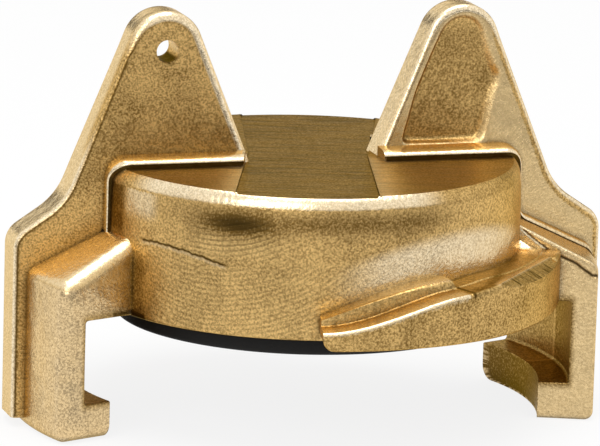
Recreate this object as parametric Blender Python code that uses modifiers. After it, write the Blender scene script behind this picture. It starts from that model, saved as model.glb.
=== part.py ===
"""Blank cap of a claw hose coupling: a forged brass body with two claws, two cam ramps and two ears, and a rubber seal.

Run with: blender --background --python part.py
Metres, +Z up. The origin is on the cap's axis in the plane of the claw tips, on which the cap rests.
+X runs through the middle of the claws and ears. The body repeats itself after half a turn about Z.
"""

import math

import bmesh
import bpy
from mathutils import Matrix, Vector

# Claws: two hooks that reach down past the sealing face
CLAW_WALL = 0.0026
CLAW_HALF_ANGLE = math.radians(21.0)
LIP_REACH = 0.0031
LIP_HEIGHT = 0.00385
HOOK_OPENING = 0.00855
CLAW_OUTER_ROUND = 0.0010
CLAW_INNER_ROUND = 0.0002

# Shoulder: the sloping top that joins each claw to the body
SHOULDER_RISE = 0.0077
SHOULDER_SLOPE = math.radians(25.5)

# Body: a round disc, hollow from below
BODY_RADIUS = 0.02185
BODY_HEIGHT = 0.0148
BODY_RIM_ROUND = 0.0015
BODY_FOOT_CHAMFER = 0.0003
FACE_STEP = 0.00015
CAVITY_ROUND = 0.0020
CAVITY_INSET = 0.0005
CROWN_THICKNESS = 0.0052

# Top: milled flat between and beside the ears
MILLED_DEPTH = 0.00045

# Forged fillet along each foot of an ear, cut off by the milling and narrower down the body's side
LEDGE_WIDTH = 0.0023
LEDGE_FILLET_HEIGHT = 0.00085
LEDGE_SIDE_SHARE = 0.4
LEDGE_CORNER = 0.0020
# The fillet's curve, as shares of its width from the ear's face and of its height above the milled top
LEDGE_CURVE_SHARES = [(0.2, 0.4), (0.5, 0.1), (0.8, -0.1)]
LEDGE_ROOT_LIFT_SHARE = 1.5

# A last straight pass of the mill between the ears
PASS_DEPTH = 0.00015
PASS_EAR_CLEARANCE = 0.0007
PASS_FLARE = 0.0012
PASS_TURN = math.radians(-17.0)

# Seal: a rubber ring held by a bead in an undercut
SEAL_WALL = 0.00235
SEAL_WIDTH = 0.0070
SEAL_PROUD = 0.00205
SEAL_FACE_ROUND = 0.0005
SEAL_SEAT_DEPTH = 0.0048
SEAL_MOUTH_DEPTH = 0.0012
SEAL_BEAD = 0.0008
SEAL_CLEARANCE = 0.0003

# Cam ramps: the mating claws ride up them into a flat seat
RAMP_GUIDE_WIDTH = 0.00235
RAMP_TRACK_WIDTH = 0.0028
RAMP_SEAT_TAPER = 0.0009
RAMP_CLEARANCE = 0.0004
RAMP_START = math.radians(257.0)
RAMP_CREST = math.radians(290.5)
RAMP_FOOT_RISE = 0.0019
RAMP_SEAT_RISE = 0.0054
RAMP_RIDGE = 0.0005
RAMP_GUIDE = 0.0006
RAMP_DETENT = 0.0004
RAMP_DETENT_ARC = math.radians(11.0)
RAMP_NOSE_ROUND = 0.0012
RAMP_CREST_FALL = 0.0006
RAMP_EDGE_ROUND = 0.0004
RAMP_FOOT_CHAMFER = 0.0002
RAMP_WALL_FILLET = 0.0012
RAMP_STEP_LEAN = 0.0001
# Where the guide's worn brow starts, as a share of its width, at the nose and at the crest
RAMP_BROW_NOSE_SHARE = 0.9
RAMP_BROW_CREST_SHARE = 0.4

# Milled flat on the outer edge of each ramp's seat
FLAT_ANGLE = math.radians(319.8)
FLAT_INSET = 0.00115
FLAT_SLOPE = math.radians(27.0)
FLAT_START = -0.0095
FLAT_END = 0.0046
FLAT_WIDTH = 0.0040

# Ears: two upright fins to turn the cap by, which run on down the claws as ribs
EAR_INSET = 0.01505
EAR_HEIGHT = 0.0154
EAR_TIP_RADIUS = 0.00385
EAR_SIDE_ANGLE = math.radians(67.8)
EAR_HALF_THICKNESS = 0.0024
EAR_TIP_HALF_THICKNESS = 0.0020
EAR_EDGE_ROUND = 0.0011
EAR_WAIST_ROUND = 0.0070
RIB_PROUD = 0.0012
RIB_FOOT = 0.0009
RIB_SHOULDER_ROUND = 0.0025
RIB_SHOULDER_SLOPE = math.radians(33.5)
RIB_SHOULDER_LIFT = 0.0033

# Pocket in one face of each ear
POCKET_DEPTH = 0.0008
POCKET_TIP_DEPTH = 0.0002
POCKET_TIP_RADIUS = 0.0029
POCKET_FLOOR_LIFT = 0.0013
POCKET_INNER_MARGIN = 0.0025
POCKET_INNER_LEAN = math.radians(14.7)
POCKET_KNEE_REACH = 0.01295
POCKET_KNEE_LIFT = 0.0084
POCKET_KNEE_LEAN = math.radians(22.8)
POCKET_OUTER_REACH = 0.0109
POCKET_STEP = 0.0010
POCKET_STEP_LIFT = 0.0062
POCKET_CORNER = 0.0004

# Hole for the chain, in one ear
CHAIN_HOLE_RADIUS = 0.00115
CHAIN_HOLE_DROP = 0.0040

# Roots that sink the joined shapes into the body, and how far a cutter reaches past what it cuts
ROOT = 0.0006
PAST = 0.0010

# Facets
BODY_STEPS = 96
CLAW_STEPS = 14
HOLE_STEPS = 24
NOSE_STEPS = 3
WALL_STEPS = 3
EDGE_SEGMENTS = 3
RAMP_PITCH = math.radians(3.0)
ARC_PITCH = math.radians(15.0)
COARSE_PITCH = math.radians(24.0)
STRAIGHT_ANGLE = math.radians(0.5)
SMOOTH_ANGLE = math.radians(32.0)
SQUARE_ANGLE = math.radians(80.0)
MERGE = 0.00001

# Sizes that follow from those above. Ramps, claws and ears stand off the body's side by their own widths
RAMP_STEP_RADIUS = BODY_RADIUS + RAMP_GUIDE_WIDTH
RAMP_RADIUS = RAMP_STEP_RADIUS + RAMP_TRACK_WIDTH
RAMP_SEAT_RADIUS = RAMP_RADIUS - RAMP_SEAT_TAPER
FLAT_DISTANCE = RAMP_SEAT_RADIUS - FLAT_INSET
GROOVE_RADIUS = RAMP_RADIUS + RAMP_CLEARANCE
CLAW_OUTER_RADIUS = GROOVE_RADIUS + CLAW_WALL
SEAL_RADIUS = BODY_RADIUS - SEAL_WALL
SEAL_BORE_RADIUS = SEAL_RADIUS - SEAL_WIDTH
CAVITY_RADIUS = SEAL_BORE_RADIUS - CAVITY_INSET
LIP_RADIUS = GROOVE_RADIUS - LIP_REACH
CEILING_Z = LIP_HEIGHT + HOOK_OPENING
FACE_Z = CEILING_Z - FACE_STEP
CROWN_Z = FACE_Z + BODY_HEIGHT
TOP_Z = CROWN_Z - MILLED_DEPTH
CAVITY_Z = TOP_Z - CROWN_THICKNESS
SHOULDER_Z = CEILING_Z + SHOULDER_RISE
SHOULDER_EDGE_Z = SHOULDER_Z - (CLAW_OUTER_RADIUS - BODY_RADIUS) * math.tan(SHOULDER_SLOPE)
SEAT_Z = FACE_Z + SEAL_SEAT_DEPTH
RAMP_SEAT_Z = CEILING_Z + RAMP_SEAT_RISE
RAMP_END = math.tau - CLAW_HALF_ANGLE
EAR_TOP_Z = TOP_Z + EAR_HEIGHT
EAR_FOOT = BODY_RADIUS - EAR_INSET
PASS_HALF_WIDTH = EAR_FOOT - PASS_EAR_CLEARANCE
POCKET_INNER_SIDE = EAR_FOOT + POCKET_INNER_MARGIN
POCKET_KNEE = EAR_FOOT + POCKET_KNEE_REACH
POCKET_OUTER_SIDE = EAR_FOOT + POCKET_OUTER_REACH
RIB_RADIUS = CLAW_OUTER_RADIUS + RIB_PROUD
LEDGE_HALF_WIDTH = EAR_HALF_THICKNESS + LEDGE_WIDTH


def clear_scene():
    """Removes the objects and collections that the file opened with."""
    for obj in list(bpy.data.objects):
        bpy.data.objects.remove(obj, do_unlink=True)
    for collection in list(bpy.data.collections):
        bpy.data.collections.remove(collection)


def new_collection(name, hidden=False):
    collection = bpy.data.collections.new(name)
    collection.hide_render = hidden
    bpy.context.scene.collection.children.link(collection)
    return collection


def arc(centre, radius, start, end, pitch=ARC_PITCH):
    """Points on an arc of a circle, from one angle to another, both ends included."""
    count = max(2, math.ceil(abs(end - start) / pitch) + 1)
    turns = [start + (end - start) * i / (count - 1) for i in range(count)]
    return [(centre[0] + radius * math.cos(t), centre[1] + radius * math.sin(t)) for t in turns]


def rounded_outline(corners, pitch=ARC_PITCH):
    """The closed outline through the corners (x, z, radius), with each corner rounded to its radius."""
    outline = []
    for i, (x, z, radius) in enumerate(corners):
        corner = Vector((x, z))
        if radius == 0.0:
            outline.append((x, z))
            continue
        before = (Vector(corners[i - 1][:2]) - corner).normalized()
        after = (Vector(corners[(i + 1) % len(corners)][:2]) - corner).normalized()
        half = before.angle(after) / 2
        centre = corner + (before + after).normalized() * (radius / math.sin(half))
        first = corner + before * (radius / math.tan(half)) - centre
        last = corner + after * (radius / math.tan(half)) - centre
        start = math.atan2(first.y, first.x)
        sweep = math.atan2(last.y, last.x) - start
        sweep = (sweep + math.pi) % math.tau - math.pi
        outline += arc(centre, radius, start, start + sweep, pitch)
    return outline


def mesh_object(name, mesh, collection):
    obj = bpy.data.objects.new(name, mesh)
    collection.objects.link(obj)
    return obj


def from_bmesh(name, shape, collection):
    """Turns a bmesh into an object, with its faces pointing out."""
    bmesh.ops.remove_doubles(shape, verts=shape.verts, dist=MERGE)
    bmesh.ops.recalc_face_normals(shape, faces=shape.faces)
    mesh = bpy.data.meshes.new(name)
    shape.to_mesh(mesh)
    shape.free()
    return mesh_object(name, mesh, collection)


def evaluated_copy(obj):
    """The mesh that an object's modifiers make."""
    graph = bpy.context.evaluated_depsgraph_get()
    return bpy.data.meshes.new_from_object(obj.evaluated_get(graph))


def apply_modifiers(obj):
    mesh = evaluated_copy(obj)
    obj.modifiers.clear()
    obj.data = mesh


def turned(name, profile, collection, closed=False):
    """Turns a profile of (radius, height) points about Z, which runs down its outer side."""
    mesh = bpy.data.meshes.new(name)
    edges = [(i, i + 1) for i in range(len(profile) - 1)]
    if closed:
        edges.append((len(profile) - 1, 0))
    mesh.from_pydata([(r, 0.0, z) for r, z in profile], edges, [])
    obj = mesh_object(name, mesh, collection)
    screw = obj.modifiers.new("Turn", "SCREW")
    screw.steps = screw.render_steps = BODY_STEPS
    screw.use_merge_vertices = True
    screw.merge_threshold = MERGE
    apply_modifiers(obj)
    return obj


def extruded(name, outline, half_thickness, collection):
    """A flat outline in X and Z, thickened by half_thickness to both sides along Y."""
    curve = bpy.data.curves.new(name, "CURVE")
    curve.dimensions = "2D"
    curve.fill_mode = "BOTH"
    curve.extrude = half_thickness
    spline = curve.splines.new("POLY")
    spline.points.add(len(outline) - 1)
    for point, (x, z) in zip(spline.points, outline):
        point.co = (x, z, 0.0, 1.0)
    spline.use_cyclic_u = True
    guide = mesh_object(name + "_outline", curve, collection)
    guide.rotation_euler.x = math.pi / 2
    bpy.context.view_layer.update()
    shape = bmesh.new()
    shape.from_mesh(evaluated_copy(guide))
    bmesh.ops.transform(shape, matrix=guide.matrix_world, verts=shape.verts)
    bpy.data.objects.remove(guide, do_unlink=True)
    bmesh.ops.remove_doubles(shape, verts=shape.verts, dist=MERGE)
    bmesh.ops.dissolve_limit(shape, angle_limit=STRAIGHT_ANGLE, verts=shape.verts, edges=shape.edges)
    return from_bmesh(name, shape, collection)


def box(name, low, high, collection, turn=0.0):
    """A box between two corners, turned about Z."""
    shape = bmesh.new()
    bmesh.ops.create_cube(shape, size=1.0)
    size = [b - a for a, b in zip(low, high)]
    middle = [(a + b) / 2 for a, b in zip(low, high)]
    place = Matrix.Rotation(turn, 4, "Z") @ Matrix.Translation(middle) @ Matrix.Diagonal((*size, 1.0))
    bmesh.ops.transform(shape, matrix=place, verts=shape.verts)
    return from_bmesh(name, shape, collection)


def lofted(name, rings, collection):
    """A solid through rings of points, closed at both ends, its sides in triangles because they aren't flat."""
    shape = bmesh.new()
    rows = [[shape.verts.new(point) for point in ring] for ring in rings]
    sides = []
    for row, following in zip(rows, rows[1:]):
        for i in range(len(row)):
            j = (i + 1) % len(row)
            sides.append(shape.faces.new((row[i], row[j], following[j], following[i])))
    bmesh.ops.triangulate(shape, faces=sides)
    shape.faces.new(rows[0])
    shape.faces.new(rows[-1])
    return from_bmesh(name, shape, collection)


def half_turned(obj):
    """A copy of the object, half a turn round Z."""
    twin = obj.copy()
    twin.data = obj.data.copy()
    twin.data.transform(Matrix.Rotation(math.pi, 4, "Z"))
    twin.name = obj.name + "_twin"
    obj.users_collection[0].objects.link(twin)
    return twin


def combine(body, others, operation):
    """Adds all the solids of a collection to the body, or cuts them all away."""
    for other in others.objects:
        other.display_type = "WIRE"
        other.hide_render = True
    step = body.modifiers.new(others.name, "BOOLEAN")
    step.operation = operation
    step.solver = "EXACT"
    step.operand_type = "COLLECTION"
    step.collection = others


def material(name, colour, metallic, roughness):
    mat = bpy.data.materials.new(name)
    mat.use_nodes = True
    shader = mat.node_tree.nodes["Principled BSDF"]
    shader.inputs["Base Color"].default_value = (*colour, 1.0)
    shader.inputs["Metallic"].default_value = metallic
    shader.inputs["Roughness"].default_value = roughness
    return mat


def body_profile():
    """Half section of the disc: round rim, turned face, seal seat with its undercut, and the cavity."""
    mouth = SEAL_RADIUS + SEAL_CLEARANCE
    undercut = mouth + SEAL_BEAD
    rim_centre = (BODY_RADIUS - BODY_RIM_ROUND, CROWN_Z - BODY_RIM_ROUND)
    roof_centre = (CAVITY_RADIUS - CAVITY_ROUND, CAVITY_Z - CAVITY_ROUND)
    profile = [(0.0, CROWN_Z)]
    profile += arc(rim_centre, BODY_RIM_ROUND, math.pi / 2, 0.0)
    profile += [
        (BODY_RADIUS, FACE_Z + BODY_FOOT_CHAMFER),
        (BODY_RADIUS - BODY_FOOT_CHAMFER, FACE_Z),
        (mouth, FACE_Z),
        (mouth, FACE_Z + SEAL_MOUTH_DEPTH),
        (undercut, FACE_Z + SEAL_MOUTH_DEPTH + SEAL_BEAD),
        (undercut, SEAT_Z),
        (CAVITY_RADIUS, SEAT_Z),
    ]
    profile += arc(roof_centre, CAVITY_ROUND, 0.0, math.pi / 2, COARSE_PITCH)
    profile.append((0.0, CAVITY_Z))
    return profile


def seal_profile():
    """Section of the rubber ring: a flat annular face with round edges, and the bead that holds it."""
    low = FACE_Z - SEAL_PROUD
    high = SEAT_Z - SEAL_CLEARANCE
    bead = SEAL_RADIUS + SEAL_BEAD
    bead_low = FACE_Z + SEAL_MOUTH_DEPTH + SEAL_BEAD + SEAL_CLEARANCE
    turn = SEAL_FACE_ROUND
    profile = [
        (SEAL_BORE_RADIUS, high),
        (bead, high),
        (bead, bead_low),
        (SEAL_RADIUS, bead_low - SEAL_BEAD),
    ]
    profile += arc((SEAL_RADIUS - turn, low + turn), turn, 0.0, -math.pi / 2, COARSE_PITCH)
    profile += arc((SEAL_BORE_RADIUS + turn, low + turn), turn, -math.pi / 2, -math.pi, COARSE_PITCH)
    return profile


def claw(collection):
    """A hook: one radial section carried round the axis, with rounded ends."""
    root = BODY_RADIUS - ROOT
    rise = math.tan(SHOULDER_SLOPE)
    section = [
        (root, CEILING_Z),
        (GROOVE_RADIUS, CEILING_Z),
        (GROOVE_RADIUS, LIP_HEIGHT),
        (LIP_RADIUS, LIP_HEIGHT),
        (LIP_RADIUS, 0.0),
        (CLAW_OUTER_RADIUS, 0.0),
        (CLAW_OUTER_RADIUS, SHOULDER_EDGE_Z),
        (root, SHOULDER_Z + ROOT * rise),
    ]
    shape = bmesh.new()
    turn = Matrix.Rotation(-CLAW_HALF_ANGLE, 4, "Z")
    points = [shape.verts.new(turn @ Vector((r, 0.0, z))) for r, z in section]
    start = shape.faces.new(points)
    bmesh.ops.spin(
        shape,
        geom=[*shape.verts, *shape.edges, start],
        axis=(0.0, 0.0, 1.0),
        cent=(0.0, 0.0, 0.0),
        angle=2 * CLAW_HALF_ANGLE,
        steps=CLAW_STEPS,
    )
    bmesh.ops.remove_doubles(shape, verts=shape.verts, dist=MERGE)
    weigh_claw_edges(shape)
    hook = from_bmesh("claw", shape, collection)
    edges = hook.modifiers.new("Edges", "BEVEL")
    edges.width = CLAW_OUTER_ROUND
    edges.segments = EDGE_SEGMENTS
    edges.limit_method = "WEIGHT"
    apply_modifiers(hook)
    return hook


def weigh_claw_edges(shape):
    """Marks the edges on the hook's outside to be rounded in full, and those inside to lose their sharpness."""
    bmesh.ops.recalc_face_normals(shape, faces=shape.faces)
    weight = shape.edges.layers.float.new("bevel_weight_edge")
    for edge in shape.edges:
        if edge.calc_face_angle() < SMOOTH_ANGLE:
            continue
        radii = [math.hypot(v.co.x, v.co.y) for v in edge.verts]
        heights = [v.co.z for v in edge.verts]
        on_shoulder = min(heights) > SHOULDER_EDGE_Z - MERGE and max(radii) - min(radii) > MERGE
        if min(radii) > CLAW_OUTER_RADIUS - MERGE or on_shoulder:
            edge[weight] = 1.0
        elif min(radii) > LIP_RADIUS - MERGE and max(heights) < SHOULDER_EDGE_Z:
            edge[weight] = CLAW_INNER_ROUND / CLAW_OUTER_ROUND


def ease(value):
    """A smooth step from 0 to 1."""
    value = min(max(value, 0.0), 1.0)
    return value * value * (3 - 2 * value)


def rounding(distance, radius):
    """How far a quarter-round has still to rise at a distance from its start."""
    if distance >= radius:
        return 0.0
    return radius - math.sqrt(radius * radius - (radius - distance) ** 2)


def wall_rise(radius, turn):
    """How far the fillet at the claw's end wall stands above the seat. It dies out where the shoulder comes down."""
    to_wall = max((RAMP_END - turn) * RAMP_STEP_RADIUS, 0.0)
    shoulder = SHOULDER_Z - (radius - BODY_RADIUS) * math.tan(SHOULDER_SLOPE)
    room = max(shoulder - CLAW_OUTER_ROUND - RAMP_SEAT_Z, 0.0)
    return min(rounding(to_wall, RAMP_WALL_FILLET), room)


def ramp_section(turn):
    """The ramp's section at an angle: an outer cam track, and a guide step inside it up to the crest."""
    run = min(max((turn - RAMP_START) / (RAMP_CREST - RAMP_START), 0.0), 1.0)
    past_crest = max(turn - RAMP_CREST, 0.0)
    radius = RAMP_RADIUS - (RAMP_RADIUS - RAMP_SEAT_RADIUS) * ease(past_crest / (RAMP_END - RAMP_CREST))
    low = CEILING_Z + rounding((turn - RAMP_START) * RAMP_RADIUS, RAMP_NOSE_ROUND)
    if past_crest > 0.0:
        track = RAMP_SEAT_Z - RAMP_DETENT * (1 - ease(past_crest / RAMP_DETENT_ARC))
        guide = track
        fall = 0.0
    else:
        foot = CEILING_Z + RAMP_FOOT_RISE
        track = foot + (RAMP_SEAT_Z - RAMP_RIDGE - foot) * ease(run)
        guide_foot = foot + RAMP_GUIDE
        guide = guide_foot + (RAMP_SEAT_Z + RAMP_RIDGE - guide_foot) * math.sin(math.pi / 2 * run)
        fall = RAMP_CREST_FALL * run * run
    edge = RAMP_EDGE_ROUND
    root = BODY_RADIUS - ROOT
    brow_share = RAMP_BROW_NOSE_SHARE + (RAMP_BROW_CREST_SHARE - RAMP_BROW_NOSE_SHARE) * run
    brow = BODY_RADIUS + (RAMP_STEP_RADIUS - BODY_RADIUS) * brow_share
    top = [
        (radius, track - edge),
        (radius - edge, track),
        (RAMP_STEP_RADIUS, track),
        (RAMP_STEP_RADIUS - RAMP_STEP_LEAN, guide - fall),
        (brow, guide),
        (root, guide),
    ]
    under = [(root, low), (radius - RAMP_FOOT_CHAMFER, low), (radius, low + RAMP_FOOT_CHAMFER)]
    return under + [(r, z + wall_rise(r, turn)) for r, z in top]


def ramp(collection):
    """A loft of the ramp's sections from its nose to inside the next claw."""
    nose_end = RAMP_START + RAMP_NOSE_ROUND / RAMP_RADIUS
    nose = [RAMP_START + (nose_end - RAMP_START) * i / NOSE_STEPS for i in range(NOSE_STEPS)]
    climb = max(2, round((RAMP_CREST - nose_end) / RAMP_PITCH))
    rising = [nose_end + (RAMP_CREST - nose_end) * i / climb for i in range(climb + 1)]
    fillet = RAMP_END - RAMP_WALL_FILLET / RAMP_STEP_RADIUS
    drop = RAMP_CREST + RAMP_EDGE_ROUND / RAMP_RADIUS
    level = max(2, round((fillet - drop) / RAMP_PITCH))
    seat = [drop + (fillet - drop) * i / level for i in range(level + 1)]
    wall = [fillet + (RAMP_END - fillet) * (i + 1) / WALL_STEPS for i in range(WALL_STEPS)]
    turns = nose + rising + seat + wall + [RAMP_END + ROOT / RAMP_STEP_RADIUS]
    rings = []
    for turn in turns:
        rings.append([(r * math.cos(turn), r * math.sin(turn), z) for r, z in ramp_section(turn)])
    return lofted("ramp", rings, collection)


def seat_flat(collection):
    """The cutter that mills the slanting flat on the outer edge of the ramp's seat."""
    flat = box("seat_flat", (0.0, FLAT_START, 0.0), (FLAT_WIDTH, FLAT_END, FLAT_WIDTH), collection)
    tilt = Matrix.Rotation(FLAT_SLOPE, 4, "Y")
    reach = Matrix.Translation((FLAT_DISTANCE, 0.0, RAMP_SEAT_Z))
    flat.data.transform(Matrix.Rotation(FLAT_ANGLE, 4, "Z") @ reach @ tilt)
    return flat


def ear_tip():
    """Centre of the round tip of an ear, in X and Z."""
    centre_z = EAR_TOP_Z - EAR_TIP_RADIUS
    touch_z = centre_z + EAR_TIP_RADIUS * math.cos(EAR_SIDE_ANGLE)
    touch_x = EAR_FOOT + (touch_z - TOP_Z) / math.tan(EAR_SIDE_ANGLE)
    return touch_x + EAR_TIP_RADIUS * math.sin(EAR_SIDE_ANGLE), centre_z


def ear_outline():
    """The fin's outline: up the inner side, over the tip, down to the shoulder and down the claw as a rib."""
    tip_x, tip_z = ear_tip()
    lean = 1 / math.tan(EAR_SIDE_ANGLE)
    apex_z = tip_z + EAR_TIP_RADIUS / math.cos(EAR_SIDE_ANGLE)
    slope = math.tan(RIB_SHOULDER_SLOPE)
    shoulder_z = SHOULDER_EDGE_Z + RIB_SHOULDER_LIFT
    # The outer side, x = tip_x + (apex_z - z) * lean, meets the shoulder's top there.
    waist_x = (tip_x + (apex_z - shoulder_z - RIB_RADIUS * slope) * lean) / (1 - slope * lean)
    waist_z = shoulder_z + (RIB_RADIUS - waist_x) * slope
    root_z = (CAVITY_Z + TOP_Z) / 2
    wall_x = CLAW_OUTER_RADIUS - CLAW_WALL / 2
    claw_z = CEILING_Z + ROOT
    return rounded_outline(
        [
            (EAR_FOOT - (TOP_Z - root_z) * lean, root_z, 0.0),
            (tip_x, apex_z, EAR_TIP_RADIUS),
            (waist_x, waist_z, EAR_WAIST_ROUND),
            (RIB_RADIUS, shoulder_z, RIB_SHOULDER_ROUND),
            (RIB_RADIUS, RIB_FOOT, 0.0),
            (wall_x, RIB_FOOT, 0.0),
            (wall_x, claw_z, 0.0),
            (BODY_RADIUS - ROOT, claw_z, 0.0),
            (BODY_RADIUS - ROOT, root_z, 0.0),
        ]
    )


def ear(collection):
    """A fin with round edges that thins towards its tip."""
    fin = extruded("ear", ear_outline(), EAR_HALF_THICKNESS, collection)
    edges = fin.modifiers.new("Edges", "BEVEL")
    edges.width = EAR_EDGE_ROUND
    edges.segments = EDGE_SEGMENTS
    edges.limit_method = "ANGLE"
    edges.angle_limit = SQUARE_ANGLE
    apply_modifiers(fin)
    thin_upwards(fin)
    return fin


def thin_upwards(obj):
    """Draws the sides in by the forging draft, from full thickness at the body's top to the tip's."""
    for vertex in obj.data.vertices:
        height = min(max((vertex.co.z - TOP_Z) / EAR_HEIGHT, 0.0), 1.0)
        share = 1 + height * (EAR_TIP_HALF_THICKNESS / EAR_HALF_THICKNESS - 1)
        vertex.co.y *= share


def pocket(collection):
    """The cutter for the pocket in the front of the right ear, which grows shallower towards the tip."""
    floor_z = TOP_Z + POCKET_FLOOR_LIFT
    knee_z = TOP_Z + POCKET_KNEE_LIFT
    step_z = TOP_Z + POCKET_STEP_LIFT
    inner = math.tan(POCKET_INNER_LEAN)
    outer = math.tan(POCKET_KNEE_LEAN)
    # Both sides, carried on upwards, meet in the corner that the pocket's round tip is drawn in.
    rise = (POCKET_KNEE - POCKET_INNER_SIDE + (knee_z - floor_z) * outer) / (inner + outer)
    outline = rounded_outline(
        [
            (POCKET_INNER_SIDE, floor_z, POCKET_CORNER),
            (POCKET_INNER_SIDE + rise * inner, floor_z + rise, POCKET_TIP_RADIUS),
            (POCKET_KNEE, knee_z, POCKET_STEP),
            (POCKET_OUTER_SIDE + POCKET_STEP, step_z, POCKET_STEP),
            (POCKET_OUTER_SIDE, floor_z, POCKET_CORNER),
        ],
        COARSE_PITCH,
    )
    cutter = extruded("pocket", outline, EAR_HALF_THICKNESS / 2, collection)
    run = EAR_TOP_Z - floor_z
    for vertex in cutter.data.vertices:
        share = (vertex.co.z - floor_z) / run
        depth = POCKET_DEPTH + (POCKET_TIP_DEPTH - POCKET_DEPTH) * share
        face = EAR_HALF_THICKNESS + (EAR_TIP_HALF_THICKNESS - EAR_HALF_THICKNESS) * share
        vertex.co.y += depth - face - EAR_HALF_THICKNESS / 2
    return cutter


def ledge(collection):
    """The fillet beside the front of the right ear: along the top, round the rim and down the body's side."""
    rim = (BODY_RADIUS - LEDGE_CORNER, CROWN_Z - LEDGE_CORNER)
    corner = arc(rim, LEDGE_CORNER, math.pi / 2, 0.0)
    path = [(EAR_FOOT - ROOT, CROWN_Z), *corner, (BODY_RADIUS, SHOULDER_Z - ROOT)]
    face = EAR_HALF_THICKNESS
    rings = []
    for i, (x, z) in enumerate(path):
        round_rim = min(max((i - 1) / (len(corner) - 1), 0.0), 1.0)
        away = Vector((math.sin(math.pi / 2 * round_rim), 0.0, math.cos(math.pi / 2 * round_rim)))
        share = 1 + (LEDGE_SIDE_SHARE - 1) * round_rim
        lift = (LEDGE_FILLET_HEIGHT - MILLED_DEPTH) * share
        width = LEDGE_WIDTH * share
        curve = [(face + width * out, lift * up) for out, up in LEDGE_CURVE_SHARES]
        section = [(face - ROOT, -ROOT), (face - ROOT, lift * LEDGE_ROOT_LIFT_SHARE), *curve, (curve[-1][0], -ROOT)]
        rings.append([Vector((x, -y, z)) + away * up for y, up in section])
    return lofted("ledge", rings, collection)


def mirrored(obj):
    """A copy of the object on the other side of the plane through the ears."""
    twin = obj.copy()
    twin.data = obj.data.copy()
    twin.data.transform(Matrix.Scale(-1.0, 4, (0.0, 1.0, 0.0)))
    twin.data.flip_normals()
    twin.name = obj.name + "_mirrored"
    obj.users_collection[0].objects.link(twin)
    return twin


def chain_hole(collection):
    """The cutter for the hole through the left ear."""
    tip_x, _ = ear_tip()
    shape = bmesh.new()
    bmesh.ops.create_cone(
        shape,
        cap_ends=True,
        segments=HOLE_STEPS,
        radius1=CHAIN_HOLE_RADIUS,
        radius2=CHAIN_HOLE_RADIUS,
        depth=2 * (EAR_HALF_THICKNESS + PAST),
    )
    place = Matrix.Translation((-tip_x, 0.0, EAR_TOP_Z - CHAIN_HOLE_DROP)) @ Matrix.Rotation(math.pi / 2, 4, "X")
    bmesh.ops.transform(shape, matrix=place, verts=shape.verts)
    return from_bmesh("chain_hole", shape, collection)


def milled_top(collection):
    """The cutters that face the top: both sides of the ears, the gap between them, and the last pass."""
    reach = BODY_RADIUS + PAST
    above = CROWN_Z + PAST
    half_turned(box("mill_side", (-reach, LEDGE_HALF_WIDTH, TOP_Z), (reach, reach, above), collection))
    box("mill_gap", (-EAR_FOOT, -reach, TOP_Z), (EAR_FOOT, reach, above), collection)
    wide = PASS_HALF_WIDTH + PASS_FLARE
    outline = [
        (-wide, -reach), (wide, -reach), (PASS_HALF_WIDTH, 0.0),
        (wide, reach), (-wide, reach), (-PASS_HALF_WIDTH, 0.0),
    ]
    last = extruded("last_pass", outline, (above - TOP_Z) / 2 + PASS_DEPTH / 2, collection)
    flat = Matrix.Rotation(-math.pi / 2, 4, "X")
    lift = Matrix.Translation((0.0, 0.0, (above + TOP_Z - PASS_DEPTH) / 2))
    last.data.transform(Matrix.Rotation(PASS_TURN, 4, "Z") @ lift @ flat)


def build():
    clear_scene()
    parts = new_collection("claw_blank_cap")
    joined = new_collection("joined_shapes", hidden=True)
    cutters = new_collection("cutters", hidden=True)

    cap = turned("cap_body", body_profile(), parts)
    fillet = ledge(joined)
    for shape in (claw(joined), ramp(joined), ear(joined), fillet, mirrored(fillet)):
        half_turned(shape)
    milled_top(cutters)
    for cutter in (seat_flat(cutters), pocket(cutters)):
        half_turned(cutter)
    chain_hole(cutters)
    combine(cap, joined, "UNION")
    combine(cap, cutters, "DIFFERENCE")
    apply_modifiers(cap)
    cap.data.shade_smooth()
    cap.data.set_sharp_from_angle(angle=SMOOTH_ANGLE)
    cap.data.materials.append(material("forged_brass", (0.50, 0.33, 0.11), 1.0, 0.35))

    seal = turned("face_seal", seal_profile(), parts, closed=True)
    seal.data.shade_smooth()
    seal.data.set_sharp_from_angle(angle=SMOOTH_ANGLE)
    seal.data.materials.append(material("nitrile_rubber", (0.012, 0.011, 0.010), 0.0, 0.6))


build()
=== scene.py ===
"""Looks of the blank cap of a claw hose coupling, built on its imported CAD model.

Laid out as an add-on and run as a script: blender --background --python scene.py
Metres, +Z up, the origin on the cap's axis between the claw tips. +X runs through the claws and ears.
"""

import functools
import math

import bmesh
import bpy
import numpy as np
from mathutils import Matrix, Vector


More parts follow.
